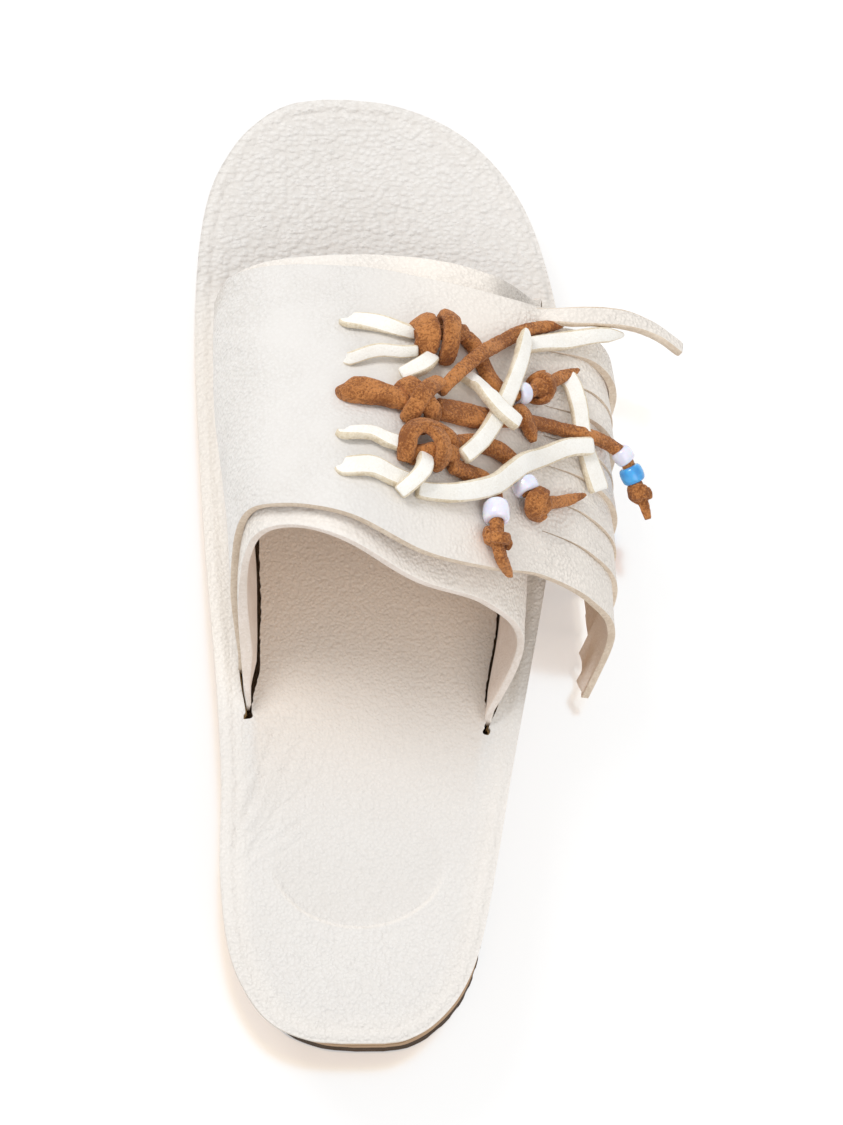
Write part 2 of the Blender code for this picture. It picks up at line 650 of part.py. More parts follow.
def build():
    for old in list(bpy.data.objects):
        bpy.data.objects.remove(old)

    brown_foam = material("brown_foam", (0.45, 0.29, 0.19), 0.85)
    tan_foam = material("tan_foam", (0.62, 0.42, 0.22), 0.85)
    cream_leather = material("cream_leather", (0.86, 0.82, 0.75), 0.6)

    outsole(brown_foam)
    foam_layer("midsole_lower", "outsole_top", "lower_top", brown_foam)
    foam_layer("midsole_middle", "lower_top", "middle_top", brown_foam)
    wedge = foam_layer("midsole_wedge", "middle_top", "wedge_top", tan_foam, dished=True)
    bed = footbed(cream_leather)

    medial_half = MEDIAL_STACK + LEATHER / 2 + SLIT_CLEAR
    lateral_half = LEATHER / 2 + SLIT_CLEAR
    cutters = (
        slit_cutter("cut_medial", MEDIAL_SLIT, medial_half, cream_leather),
        slit_cutter("cut_lateral", LATERAL_SLIT, lateral_half, cream_leather),
    )
    for cutter in cutters:
        boolean(bed, cutter, "DIFFERENCE")
        boolean(wedge, cutter, "DIFFERENCE")

    upper = inner_band(cream_leather)
    outer = outer_band(cream_leather)
    outer.hide_render = True
    outer.display_type = "WIRE"
    boolean(upper, outer, "UNION")

    finishes = {
        "suede_brown": material("suede_brown", (0.42, 0.17, 0.06), 0.95),
        "suede_white": material("suede_white", (0.85, 0.81, 0.74), 0.9),
        "bead_white": material("bead_white", (0.9, 0.9, 0.95), 0.25),
        "bead_blue": material("bead_blue", (0.05, 0.35, 0.65), 0.25),
    }
    for name, route in (*BARS.items(), *LACES.items()):
        cord(name, route, finishes["suede_white" if "white" in name else "suede_brown"])
    for name, row in KNOTS.items():
        knot(name, row, finishes["suede_brown"])
    for name, row in THREADED.items():
        threaded(name, row, finishes[row[-1]])


build()
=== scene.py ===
import math

import bmesh
import bpy
from mathutils import Matrix, Vector, kdtree, noise


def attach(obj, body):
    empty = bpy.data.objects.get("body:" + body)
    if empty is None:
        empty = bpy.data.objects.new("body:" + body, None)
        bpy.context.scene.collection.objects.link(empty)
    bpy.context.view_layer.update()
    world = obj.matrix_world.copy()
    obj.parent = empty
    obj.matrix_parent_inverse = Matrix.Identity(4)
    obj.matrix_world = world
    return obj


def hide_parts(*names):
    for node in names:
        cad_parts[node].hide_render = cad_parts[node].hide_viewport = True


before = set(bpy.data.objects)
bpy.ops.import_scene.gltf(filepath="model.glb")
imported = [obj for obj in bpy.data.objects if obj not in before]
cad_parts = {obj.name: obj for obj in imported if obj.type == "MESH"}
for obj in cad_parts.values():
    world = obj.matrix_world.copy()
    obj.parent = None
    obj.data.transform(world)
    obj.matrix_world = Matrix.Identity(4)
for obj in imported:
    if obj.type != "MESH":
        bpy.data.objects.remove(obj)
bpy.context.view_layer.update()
mm = 0.001
scene = bpy.context.scene


# camera: where it stands, what it looks at, and the level direction
shot = {
    "eye": (0.0609, 0.2504, 1.1356), "aim": (-0.010, 0.002, 0.030),
    "level": (-1.0, 0.0, 0.0), "lens": 138.0,
}


def makeCamera():
    camera = bpy.data.objects.new("camera", bpy.data.cameras.new("camera"))
    camera.data.lens = shot["lens"]
    camera.data.clip_start = 0.05
    camera.data.clip_end = 20.0
    back = (Vector(shot["eye"]) - Vector(shot["aim"])).normalized()
    right = Vector(shot["level"])
    right = (right - back * right.dot(back)).normalized()
    up = back.cross(right)
    turn = Matrix((right, up, back)).transposed()
    camera.matrix_world = Matrix.Translation(shot["eye"]) @ turn.to_4x4()
    scene.collection.objects.link(camera)
    scene.camera = camera


makeCamera()
print("camera ready")


# smooth curves through rows of values
def curveAt(places, values, at):
    at = min(max(at, places[0]), places[-1])
    last = len(places) - 1
    i = max(k for k in range(last) if places[k] <= at)
    span = places[i + 1] - places[i]
    step = (values[i + 1] - values[i]) / span
    before = (values[i + 1] - values[i - 1]) / (places[i + 1] - places[i - 1]) if i > 0 else step
    after = (values[i + 2] - values[i]) / (places[i + 2] - places[i]) if i + 2 <= last else step
    t = (at - places[i]) / span
    t2 = t * t
    t3 = t2 * t
    return (
        (2 * t3 - 3 * t2 + 1) * values[i]
        + (t3 - 2 * t2 + t) * before * span
        + (3 * t2 - 2 * t3) * values[i + 1]
        + (t3 - t2) * after * span
    )


def rise(value):
    value = min(max(value, 0.0), 1.0)
    return value * value * (3 - 2 * value)


def bump(distance, width):
    return math.exp(-((distance / width) ** 2))


def roughly(point, size, seed):
    # smooth noise from -1 to 1 at a grain size in mm
    return noise.noise(Vector(point) / size + Vector((seed * 7.3, seed * 3.1, seed * 5.7)))


def column(rows, index):
    return [row[index] for row in rows]


# the sole's shape, in mm
sole = {
    # y, lateral edge, medial edge
    "outline": (
        (-129.0, 8.0, 14.0),
        (-127.6, -3.5, 23.0),
        (-123.3, -16.0, 31.0),
        (-116.0, -27.0, 38.2),
        (-104.0, -37.0, 44.4),
        (-87.0, -44.0, 47.6),
        (-62.0, -48.6, 48.8),
        (-30.0, -47.6, 47.7),
        (2.0, -43.0, 46.0),
        (34.0, -36.8, 43.6),
        (60.0, -31.7, 42.4),
        (84.0, -27.3, 42.8),
        (104.0, -23.0, 40.8),
        (116.0, -18.0, 36.2),
        (124.0, -11.0, 29.6),
        (128.0, -4.0, 20.5),
        (129.0, 2.0, 12.0),
    ),
    # y, then the height of each boundary from the tread up
    "heights": (
        (-129.0, 5.5, 9.5, 12.6, 15.4, 18.0, 21.0),
        (-110.0, 1.6, 6.0, 9.4, 12.4, 15.2, 18.2),
        (-92.0, 0.0, 4.9, 8.5, 11.6, 14.6, 17.6),
        (-60.0, 0.0, 5.0, 8.8, 12.2, 15.6, 18.6),
        (-25.0, 0.0, 5.6, 11.0, 15.8, 20.4, 23.4),
        (15.0, 0.0, 6.4, 14.0, 20.8, 26.6, 29.6),
        (50.0, 0.0, 6.8, 16.0, 24.6, 31.2, 34.2),
        (90.0, 0.0, 7.0, 16.8, 26.3, 33.1, 36.1),
        (129.0, 0.0, 7.0, 16.8, 26.6, 33.5, 36.5),
    ),
    "boundaries": ("tread", "outsoleTop", "lowerTop", "middleTop", "wedgeTop", "footbedTop"),
    "lean": math.tan(math.radians(3.0)),
    "heelDish": 1.6,
    # middle x and y, half width, half length
    "heelSeat": (7.6, 81.5, 22.5, 17.6),
    "wingLift": 3.8,
    "wingWidth": 10.0,
    "wingMiddle": 18.0,
    "wingReach": 46.0,
    # slit centre lines: y, x
    "medialSlit": ((-73.0, 41.0), (-40.0, 38.6), (0.0, 36.6), (22.0, 36.6), (36.0, 36.9), (43.5, 36.4)),
    "lateralSlit": ((-72.4, -42.7), (-30.0, -38.6), (16.0, -32.4), (30.0, -30.0), (48.0, -25.9)),
}


def edgeAt(u):
    places = list(range(len(sole["outline"])))
    at = u * places[-1]
    return [curveAt(places, column(sole["outline"], k), at) for k in range(3)]


def heightAt(boundary, y):
    place = 1 + sole["boundaries"].index(boundary)
    return curveAt(column(sole["heights"], 0), column(sole["heights"], place), y)


def heelDish(x, y, lateral, medial):
    across = abs(x - (lateral + medial) / 2) / max((medial - lateral) / 2, 1.0)
    return sole["heelDish"] * rise((y - 30) / 50) * rise((129 - y) / 30) * (1 - min(across, 1.0) ** 2)


def wingLift(x, y, lateral, medial):
    inside = min(x - lateral, medial - x)
    near = rise(1 - abs(y - sole["wingMiddle"]) / sole["wingReach"])
    return sole["wingLift"] * near * rise(1 - inside / sole["wingWidth"])


def slitX(slit, y):
    return curveAt(column(sole[slit], 0), column(sole[slit], 1), y)


# the strap's shape, in mm
strap = {
    "leather": 2.0,
    "stack": 0.75,
    "doubled": 1.2,
    "bury": 5.6,
    "stations": (-78.0, -40.0, 0.0, 45.0),
    # (x, z) at the four stations, then y of the front and the rear edge
    "inner": (
        ((41.3, 28.0), (42.0, 40.0), (38.6, 52.0), (37.4, 54.0), -70.0, 19.0),
        ((37.0, 37.5), (37.6, 54.0), (35.6, 72.0), (35.4, 80.0), -74.3, 7.0),
        ((24.0, 43.5), (26.0, 64.0), (27.0, 83.0), (27.0, 93.0), -76.5, 5.0),
        ((4.0, 45.5), (9.0, 68.0), (13.0, 87.5), (13.0, 98.0), -77.0, 9.5),
        ((-16.0, 43.0), (-11.0, 63.0), (-6.0, 77.0), (-5.0, 85.0), -75.8, 18.0),
        ((-31.0, 35.0), (-29.0, 52.5), (-24.0, 63.0), (-24.0, 71.0), -73.4, 21.0),
        ((-39.6, 25.0), (-39.6, 39.0), (-35.5, 48.0), (-33.0, 52.0), -70.8, 27.0),
    ),
    "outer": (
        ((42.9, 28.4), (43.7, 40.9), (40.3, 52.5), (39.2, 54.5), -68.5, 14.0),
        ((38.4, 39.4), (39.5, 55.4), (37.4, 73.6), (37.0, 81.6), -72.5, 0.5),
        ((24.8, 46.0), (27.4, 66.8), (28.4, 86.8), (28.0, 95.4), -73.2, 0.0),
        ((4.0, 48.2), (9.0, 71.2), (12.0, 91.8), (12.0, 100.6), -71.5, 4.0),
        ((-17.0, 46.4), (-12.0, 67.4), (-7.0, 84.5), (-7.0, 91.0), -67.5, 12.0),
        ((-33.4, 40.4), (-30.0, 57.6), (-25.0, 71.5), (-25.0, 78.0), -65.0, 13.5),
        ((-43.0, 37.0), (-41.0, 49.0), (-38.5, 60.0), (-38.0, 64.0), -64.0, 12.5),
        ((-54.0, 34.0), (-54.5, 40.0), (-52.0, 48.0), (-52.0, 50.0), -63.0, 16.5),
        ((-60.2, 25.0), (-60.5, 28.0), (-60.3, 31.0), (-59.5, 32.0), -57.0, 22.0),
        ((-57.0, 13.0), (-56.5, 13.5), (-56.0, 13.0), (-55.5, 13.0), -47.0, 35.0),
    ),
    # room between the inner band's rear edge and the rear end of each slit, more room at the lip,
    # and where the outer band's rear edge goes into the medial slit
    "medialRoom": 2.2,
    "lateralRoom": 2.4,
    "lipRoom": 2.5,
    "outerRear": 31.5,
    # point of the outer band where the fringe begins
    "cutAt": 6,
    # points of the outer band between which strapFace looks
    "faceFrom": 4.0,
    "faceTo": 10.5,
    # faces of the two sheets across the foot, and of the inner one along it
    "columns": {"inner": 180, "outer": 200},
    "innerRows": 88,
}


def bandKeys(band, y):
    keys = []
    for row in strap[band]:
        keys.append([curveAt(strap["stations"], column(row[:4], k), y) for k in (0, 1)])
    top = heightAt("footbedTop", y)
    rises = (top - strap["bury"], top - 0.5, top + 5.0)
    shift = -strap["stack"] if band == "inner" else strap["stack"]
    medial = [[slitX("medialSlit", y) + shift, z] for z in rises]
    lateral = [[slitX("lateralSlit", y), z] for z in rises[::-1]] if band == "inner" else []
    return medial + keys + lateral


def bandPoint(band, share, y):
    keys = bandKeys(band, y)
    places = list(range(len(keys)))
    at = share * places[-1]
    return Vector((curveAt(places, column(keys, 0), at), y, curveAt(places, column(keys, 1), at)))


def bandEdges(band, share):
    medial = (sole["medialSlit"][0][0], sole["medialSlit"][-1][0] - strap["medialRoom"])
    lateral = (sole["lateralSlit"][0][0], sole["lateralSlit"][-1][0] - strap["lateralRoom"])
    if band == "outer":
        medial = (medial[0], strap["outerRear"])
    rows = [medial, medial, (medial[0], medial[1] - strap["lipRoom"])] + [row[4:6] for row in strap[band]]
    if band == "inner":
        rows += [(lateral[0], lateral[1] - strap["lipRoom"]), lateral, lateral]
    places = list(range(len(rows)))
    at = share * places[-1]
    return curveAt(places, column(rows, 0), at), curveAt(places, column(rows, 1), at)


def strapFace(x, y):
    # outside of the outer band over (x, y), and its normal
    low, high = (strap[key] / (len(strap["outer"]) + 2) for key in ("faceFrom", "faceTo"))
    for _ in range(24):
        middle = (low + high) / 2
        if bandPoint("outer", middle, y).x > x:
            low = middle
        else:
            high = middle
    here = bandPoint("outer", low, y)
    along = bandPoint("outer", low, y + 1.0) - here
    across = here - bandPoint("outer", low + 0.01, y)
    normal = across.cross(along).normalized()
    return here + Vector((0, 0, strap["leather"] / 2 / normal.z)), normal


# laces: each place of a route is x, y and height over the strap, or over the floor where it says so.
# The places are those of the solids. The two strips that share lace_white_cross have one more each,
# where one ends under the other. Then how each strip of suede is cut.
# Heights of a lace that lies on the strap, over another lace and over two
on = 1.9
over = 5.4
overTwo = 8.9
# up from the strap to the middle of a cord is squeezed, because a suede strip is flatter than its cord
laceFlat = 0.78

laces = {
    "lace_brown_front": {
        "route": (
            (-19.6, -50.4, on + 0.8), (-22.0, -48.8, on), (-24.0, -44.2, on), (-26.8, -38.6, on),
            (-30.4, -35.8, on), (-34.8, -36.0, 3.8), (-40.2, -38.8, 4.8), (-45.6, -43.2, on + 0.8),
            (-51.0, -46.4, on + 0.3),
        ),
        "widths": (4.8, 4.6, 3.8, 3.4, 3.4, 3.2), "thick": 2.9, "tip": 6.0, "far": "bare",
        "threaded": ("bead_white_front", "end_knot_front"),
    },
    "lace_brown_long": {
        "route": (
            (-12.4, -32.4, on + 2.4), (-15.8, -36.4, over), (-20.0, -41.2, over), (-24.4, -45.6, over),
            (-30.0, -50.6, on + 0.8), (-35.4, -54.8, on), (-41.0, -57.4, on + 0.2),
            (-47.4, -58.8, on + 0.8),
        ),
        "widths": (3.4, 3.9, 3.9, 3.6, 2.6), "thick": 2.8, "tip": 5.0, "far": "bare",
    },
    "lace_brown_side": {
        "route": (
            (-11.6, -27.6, on + 1.0), (-17.8, -27.4, on), (-24.0, -27.2, on), (-30.0, -28.2, on),
            (-38.8, -29.0, on), (-46.0, -28.6, on), (-52.5, -28.2, on + 0.4),
            (-58.4, -27.4, 42.0, "floor"), (-62.9, -24.6, 39.8, "floor"), (-65.4, -20.0, 37.8, "floor"),
            (-67.8, -15.0, 36.0, "floor"), (-69.8, -8.8, 34.0, "floor"),
        ),
        "widths": (6.0, 6.4, 4.8, 3.6, 3.4, 3.4, 3.4, 3.2, 3.0), "thick": 3.0, "tip": 6.0, "far": "bare",
        "threaded": ("bead_white_side", "bead_blue_side", "end_knot_side"),
    },
    "lace_brown_rear_1": {
        "route": (
            (-15.4, -17.8, on + 0.8), (-22.2, -19.6, on), (-28.4, -18.4, on), (-32.0, -15.4, on),
            (-34.5, -9.6, 4.0), (-35.5, -7.2, 4.4),
        ),
        "widths": (4.9, 5.1, 4.5, 3.2), "thick": 3.0, "far": "knot",
        "threaded": ("bead_white_rear_1", "end_knot_rear_1"),
    },
    "lace_brown_rear_2": {
        "route": (
            (-14.4, -12.0, on + 0.8), (-19.0, -10.8, on), (-23.6, -9.4, on), (-26.0, -6.2, on),
            (-26.2, -0.7, 4.6), (-26.2, 6.6, 4.6), (-27.2, 11.2, 3.8), (-29.8, 15.0, 71.5, "floor"),
        ),
        "widths": (4.8, 4.8, 4.0, 3.2, 3.0), "thick": 2.9, "tip": 6.0, "far": "bare",
        "threaded": ("bead_white_rear_2", "end_knot_rear_2"),
    },
    "lace_white_front": {
        "route": (
            (-13.4, -34.2, on), (-15.4, -36.4, on), (-18.0, -39.3, on), (-22.2, -36.6, on + 1.8),
            (-25.0, -32.6, overTwo - 1.0), (-28.2, -28.8, overTwo), (-32.7, -25.3, overTwo - 0.4),
        ),
        "widths": (3.0, 3.6, 5.0, 5.0), "thick": 2.6, "far": "bare",
    },
    "lace_white_cross": {
        "route": (
            (-17.8, -14.2, over), (-20.2, -16.6, over), (-23.6, -20.8, over), (-27.6, -27.8, over),
            (-31.2, -35.6, over + 1.0), (-34.4, -44.4, over - 0.4), (-36.0, -51.0, over + 0.4),
            (-36.4, -54.6, over + 0.8),
        ),
        "widths": (4.4, 4.8, 4.6, 4.4, 4.0), "thick": 2.3, "tip": 4.0, "far": "bare",
    },
    "lace_white_outer": {
        "route": (
            (-36.4, -50.6, on + 0.4), (-40.2, -52.2, on + 1.0), (-47.4, -54.2, on + 1.4),
            (-55.6, -56.0, 44.8, "floor"), (-63.6, -57.2, 41.2, "floor"),
        ),
        "widths": (4.0, 4.8, 4.6, 3.4), "thick": 2.2, "rolls": (0, -20), "tip": 5.0, "far": "bare",
        "node": "lace_white_cross",
    },
    "lace_white_rear": {
        "route": (
            (-5.6, -4.0, on), (-9.4, -3.8, on), (-16.4, -4.6, on + 1.2), (-25.4, -7.6, over + 0.4),
            (-30.4, -12.0, over + 0.6), (-34.2, -15.4, over + 0.6), (-39.4, -19.0, on + 1.6),
            (-46.4, -22.8, on + 2.4), (-53.6, -24.6, on + 2.4),
        ),
        "widths": (4.4, 5.4, 5.6, 5.2, 4.6), "thick": 2.3, "rolls": (-14, -10), "far": "bare",
    },
}
# short strips: the laces between the strap's holes and the knots, loop ends and loose ends
shortStrips = {
    "bar_white_front_1": {
        "route": (
            (10.2, -54.0, -1.6), (9.3, -54.0, on), (3.0, -53.0, on + 0.6), (-3.4, -51.0, on + 1.2),
            (-7.0, -50.0, on + 1.2),
        ),
        "widths": (5.2, 4.6, 3.2), "thick": 1.9, "rolls": (6, -62),
    },
    "bar_white_front_2": {
        "route": (
            (10.6, -42.0, -1.6), (9.7, -42.0, on), (3.4, -44.0, on + 1.4), (-3.2, -44.0, on + 1.2),
            (-7.0, -44.6, on + 1.2),
        ),
        "widths": (3.4, 3.6, 3.2), "thick": 1.9, "rolls": (-50, -44),
    },
    "bar_brown_middle": {
        "route": (
            (11.6, -32.2, -1.6), (10.5, -32.0, on + 0.4), (5.0, -31.2, on + 0.9), (-0.4, -29.8, on + 1.2),
            (-4.0, -29.0, on + 1.2),
        ),
        "widths": (5.2, 7.4, 6.2, 5.0), "thick": 4.0,
    },
    "bar_white_rear_1": {
        "route": (
            (12.6, -18.6, -1.6), (11.7, -18.8, on), (6.0, -19.0, on + 0.6), (1.6, -17.0, on + 1.2),
            (-2.5, -16.0, on + 1.2),
        ),
        "widths": (4.6, 4.4, 4.0), "thick": 2.2, "rolls": (30, -20),
    },
    "bar_white_rear_2": {
        "route": (
            (12.9, -9.0, -1.6), (12.0, -9.0, on), (6.0, -9.2, on + 0.8), (0.6, -7.0, on),
            (-4.0, -5.6, on - 0.4),
        ),
        "widths": (4.8, 5.4, 4.8), "thick": 2.2, "rolls": (-22, -8),
    },
    "loop_white_front": {
        "route": (
            (-11.0, -43.0, on + 1.0), (-8.6, -40.2, on + 2.6), (-6.2, -38.6, on + 2.2), (-2.7, -36.8, on),
        ),
        "widths": (4.2, 4.6, 4.4), "thick": 2.7,
    },
    "loop_white_rear": {
        "route": (
            (-7.6, -13.6, on + 1.0), (-7.4, -9.8, on + 4.2), (-5.4, -6.4, on + 4.0), (-0.8, -2.4, on),
        ),
        "widths": (4.2, 4.4, 4.0), "thick": 2.7,
    },
    "tail_brown_rear": {
        "route": (
            (-37.6, -5.6, 4.2), (-42.2, -7.0, 3.4), (-46.2, -8.6, on + 0.4), (-51.2, -11.0, on + 0.2),
        ),
        "widths": (3.4, 3.2, 2.8), "thick": 2.7, "tip": 6.0,
    },
    "strand_white_side": {
        "route": (
            (-47.6, -44.4, on), (-49.4, -40.6, on + 1.4), (-50.6, -35.0, on + 2.0),
            (-51.2, -29.4, on + 0.8), (-52.2, -24.8, on),
        ),
        "widths": (5.0, 5.0, 4.6, 4.4), "thick": 2.1, "rolls": (-24, -20),
    },
    "strand_white_end": {
        "route": (
            (-51.8, -25.6, on), (-53.2, -20.4, on + 0.3), (-55.6, -13.2, on + 0.5),
        ),
        "widths": (4.8, 5.8, 6.4), "thick": 2.0, "rolls": (-20, -20),
        "node": "strand_white_side",
    },
    "tail_brown_middle": {
        "route": (
            (-31.8, -29.0, on), (-34.4, -30.6, on + 1.2), (-36.2, -27.4, on + 0.8),
            (-37.6, -23.2, on + 0.2),
        ),
        "widths": (4.4, 4.8, 3.6), "thick": 2.8, "tip": 3.0,
        "node": "lace_brown_side",
    },
}


def routeFrame(row):
    x, y, up = row[:3]
    point, normal = strapFace(x, y)
    if row[3:] == ("floor",):
        return Vector((x, y, up)), normal
    return point + Vector((0, 0, up * laceFlat / normal.z)), normal


def smoothVector(points, at):
    places = list(range(len(points)))
    return Vector([curveAt(places, column(points, k), at) for k in range(3)])


def evenSteps(reached, count):
    # even steps along a list of distances, as (number, share of the way to the next)
    steps = []
    k = 0
    for i in range(count + 1):
        wanted = reached[-1] * i / count
        while k < len(reached) - 2 and reached[k + 1] < wanted:
            k += 1
        steps.append((k, (wanted - reached[k]) / max(reached[k + 1] - reached[k], 1e-9)))
    return steps


def pathAlong(points, step):
    # even steps along the smooth curve through the points, as (position, share of the list)
    fine = 30
    dense = [smoothVector(points, k / fine) for k in range(fine * (len(points) - 1) + 1)]
    reached = [0.0]
    for first, second in zip(dense, dense[1:]):
        reached.append(reached[-1] + (second - first).length)
    steps = evenSteps(reached, max(round(reached[-1] / step), 4))
    return [(dense[k].lerp(dense[k + 1], part), (k + part) / fine) for k, part in steps], reached[-1]


def gridPlace(vert, columns, rows):
    # column and row of a corner of a grid that is still from -1 to 1
    return round((vert.co.x + 1) / 2 * columns), round((vert.co.y + 1) / 2 * rows)


def makeGrid(bm, columns, rows):
    bmesh.ops.create_grid(bm, x_segments=columns, y_segments=rows, size=1.0)
    return {vert: gridPlace(vert, columns, rows) for vert in bm.verts}


def extrudeFaces(bm, faces):
    made = bmesh.ops.extrude_face_region(bm, geom=faces)["geom"]
    fresh = [item for item in made if isinstance(item, bmesh.types.BMVert)]
    return fresh, [item for item in made if isinstance(item, bmesh.types.BMFace)]


def roundRims(piece, width):
    rounding = piece.modifiers.new("rounding", "BEVEL")
    rounding.width = width * mm
    rounding.segments = 2
    rounding.limit_method = "ANGLE"
    rounding.angle_limit = math.radians(50)


def addPiece(name, bm, finishes, smoothAngle=None):
    bmesh.ops.scale(bm, vec=(mm, mm, mm), verts=bm.verts)
    mesh = bpy.data.meshes.new(name)
    bm.to_mesh(mesh)
    bm.free()
    mesh.shade_smooth()
    if smoothAngle:
        mesh.set_sharp_from_angle(angle=math.radians(smoothAngle))
    piece = bpy.data.objects.new(name, mesh)
    for finish in finishes:
        mesh.materials.append(finish)
    scene.collection.objects.link(piece)
    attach(piece, "root")
    return piece


def sweepStrip(bm, path, normals, widths, thick, seed, rolls=(0.0, 0.0), tip=0.0, square=0.5, nap=0.13):
    # a rounded strip of suede drawn along the path: a ring that is extruded step by step
    sides = 20
    start = bmesh.ops.create_circle(bm, segments=sides, radius=1.0)["verts"]
    ring = sorted(start, key=lambda vert: math.atan2(vert.co.y, vert.co.x))
    angles = [math.atan2(vert.co.y, vert.co.x) for vert in ring]
    last = len(path) - 1
    step = (path[1] - path[0]).length
    edges = list({edge for vert in ring for edge in vert.link_edges})
    faces = list(bmesh.ops.edgeloop_fill(bm, edges=edges)["faces"])
    sideFaces = []
    places = [k / (len(widths) - 1) for k in range(len(widths))]

    def place(verts, i):
        here = path[i]
        tangent = (path[min(i + 1, last)] - path[max(i - 1, 0)]).normalized()
        lift = (normals[i] - tangent * normals[i].dot(tangent)).normalized()
        side = tangent.cross(lift)
        lean = math.radians(rolls[0] + (rolls[1] - rolls[0]) * i / last) + 0.20 * roughly(here, 14.0, seed)
        turned = side * math.cos(lean) + lift * math.sin(lean)
        crown = lift * math.cos(lean) - side * math.sin(lean)
        ending = min(i, last - i)
        tight = (0.86, 0.97)[ending] if ending < 2 else 1.0
        if tip:
            tight *= 0.3 + 0.7 * min((last - i) * step / tip, 1.0) ** 0.7
        wide = curveAt(places, widths, i / last) / 2 * tight * (1 + 0.06 * roughly(here, 6.0, seed + 1))
        high = thick / 2 * (0.4 + 0.6 * tight) * (1 + 0.08 * roughly(here, 5.0, seed + 2))
        for vert, angle in zip(verts, angles):
            c = math.cos(angle)
            s = math.sin(angle)
            across = turned * math.copysign(abs(c) ** square, c) * wide
            above = crown * math.copysign(abs(s) ** square, s) * high
            spot = here + across + above
            fuzz = nap * (roughly(spot, 0.9, seed + 3) + 0.8 * roughly(spot, 2.4, seed + 4))
            vert.co = spot + (across + above).normalized() * fuzz

    place(ring, 0)
    for i in range(1, last + 1):
        made = bmesh.ops.extrude_edge_only(bm, edges=edges)["geom"]
        fresh = {item for item in made if isinstance(item, bmesh.types.BMVert)}
        edges = [item for item in made if isinstance(item, bmesh.types.BMEdge) and item.is_boundary]
        near = [[edge.other_vert(vert) for edge in vert.link_edges] for vert in ring]
        ring = [next(vert for vert in around if vert in fresh) for around in near]
        place(ring, i)
        # faces of the strip's two cut sides
        for vert, angle in zip(ring, angles):
            if abs(math.cos(angle)) > 0.80:
                sideFaces += [face for face in vert.link_faces if face.is_valid]
    faces += list(bmesh.ops.edgeloop_fill(bm, edges=edges)["faces"])
    return set(sideFaces) | set(faces)


def stripPath(strip, step=0.55):
    frames = [routeFrame(row) for row in strip["route"]]
    path, length = pathAlong([point for point, _ in frames], step)
    normals = [smoothVector([normal for _, normal in frames], at).normalized() for _, at in path]
    return [point for point, _ in path], normals, length


# materials are built from these few nodes
def addNode(tree, kind, inputs=(), **settings):
    made = tree.nodes.new(kind)
    for name, value in settings.items():
        setattr(made, name, value)
    for key, value in dict(inputs).items():
        if isinstance(value, bpy.types.NodeSocket):
            tree.links.new(value, made.inputs[key])
        else:
            made.inputs[key].default_value = value
    return made


def times(tree, first, second):
    return addNode(tree, "ShaderNodeMath", {0: first, 1: second}, operation="MULTIPLY").outputs[0]


def plus(tree, first, second, clamp=False):
    return addNode(tree, "ShaderNodeMath", {0: first, 1: second}, operation="ADD", use_clamp=clamp).outputs[0]


def vectorMath(tree, operation, first, second):
    return addNode(tree, "ShaderNodeVectorMath", {0: first, 1: second}, operation=operation).outputs[0]


def noiseNode(tree, place, scale, detail=2.0, **inputs):
    values = {"Vector": place, "Scale": scale, "Detail": detail, **inputs}
    return addNode(tree, "ShaderNodeTexNoise", values).outputs


def mixNumber(tree, share, first, second):
    return addNode(tree, "ShaderNodeMix", {0: share, 2: first, 3: second}, data_type="FLOAT").outputs[0]


def mapRange(tree, value, fromLow, fromHigh, toLow=0.0, toHigh=1.0):
    sockets = {"Value": value, "From Min": fromLow, "From Max": fromHigh, "To Min": toLow, "To Max": toHigh}
    return addNode(tree, "ShaderNodeMapRange", sockets, interpolation_type="SMOOTHSTEP").outputs["Result"]


def mixColour(tree, share, first, second):
    sockets = {"Factor": share, "A": first, "B": second}
    made = tree.nodes.new("ShaderNodeMix")
    made.data_type = "RGBA"
    colourSockets = {"Factor": made.inputs[0], "A": made.inputs[6], "B": made.inputs[7]}
    for key, value in sockets.items():
        if isinstance(value, bpy.types.NodeSocket):
            tree.links.new(value, colourSockets[key])
        else:
            colourSockets[key].default_value = value if key == "Factor" else (*value, 1.0)
    return made.outputs[2]


def newGroup(name, numbers, outputs):
    group = bpy.data.node_groups.new(name, "ShaderNodeTree")
    group.interface.new_socket("Vector", in_out="INPUT", socket_type="NodeSocketVector")
    for label, value in numbers.items():
        socket = group.interface.new_socket(label, in_out="INPUT", socket_type="NodeSocketFloat")
        socket.default_value = value
    for label in outputs:
        group.interface.new_socket(label, in_out="OUTPUT", socket_type="NodeSocketFloat")
    return group, group.nodes.new("NodeGroupInput").outputs, group.nodes.new("NodeGroupOutput").inputs


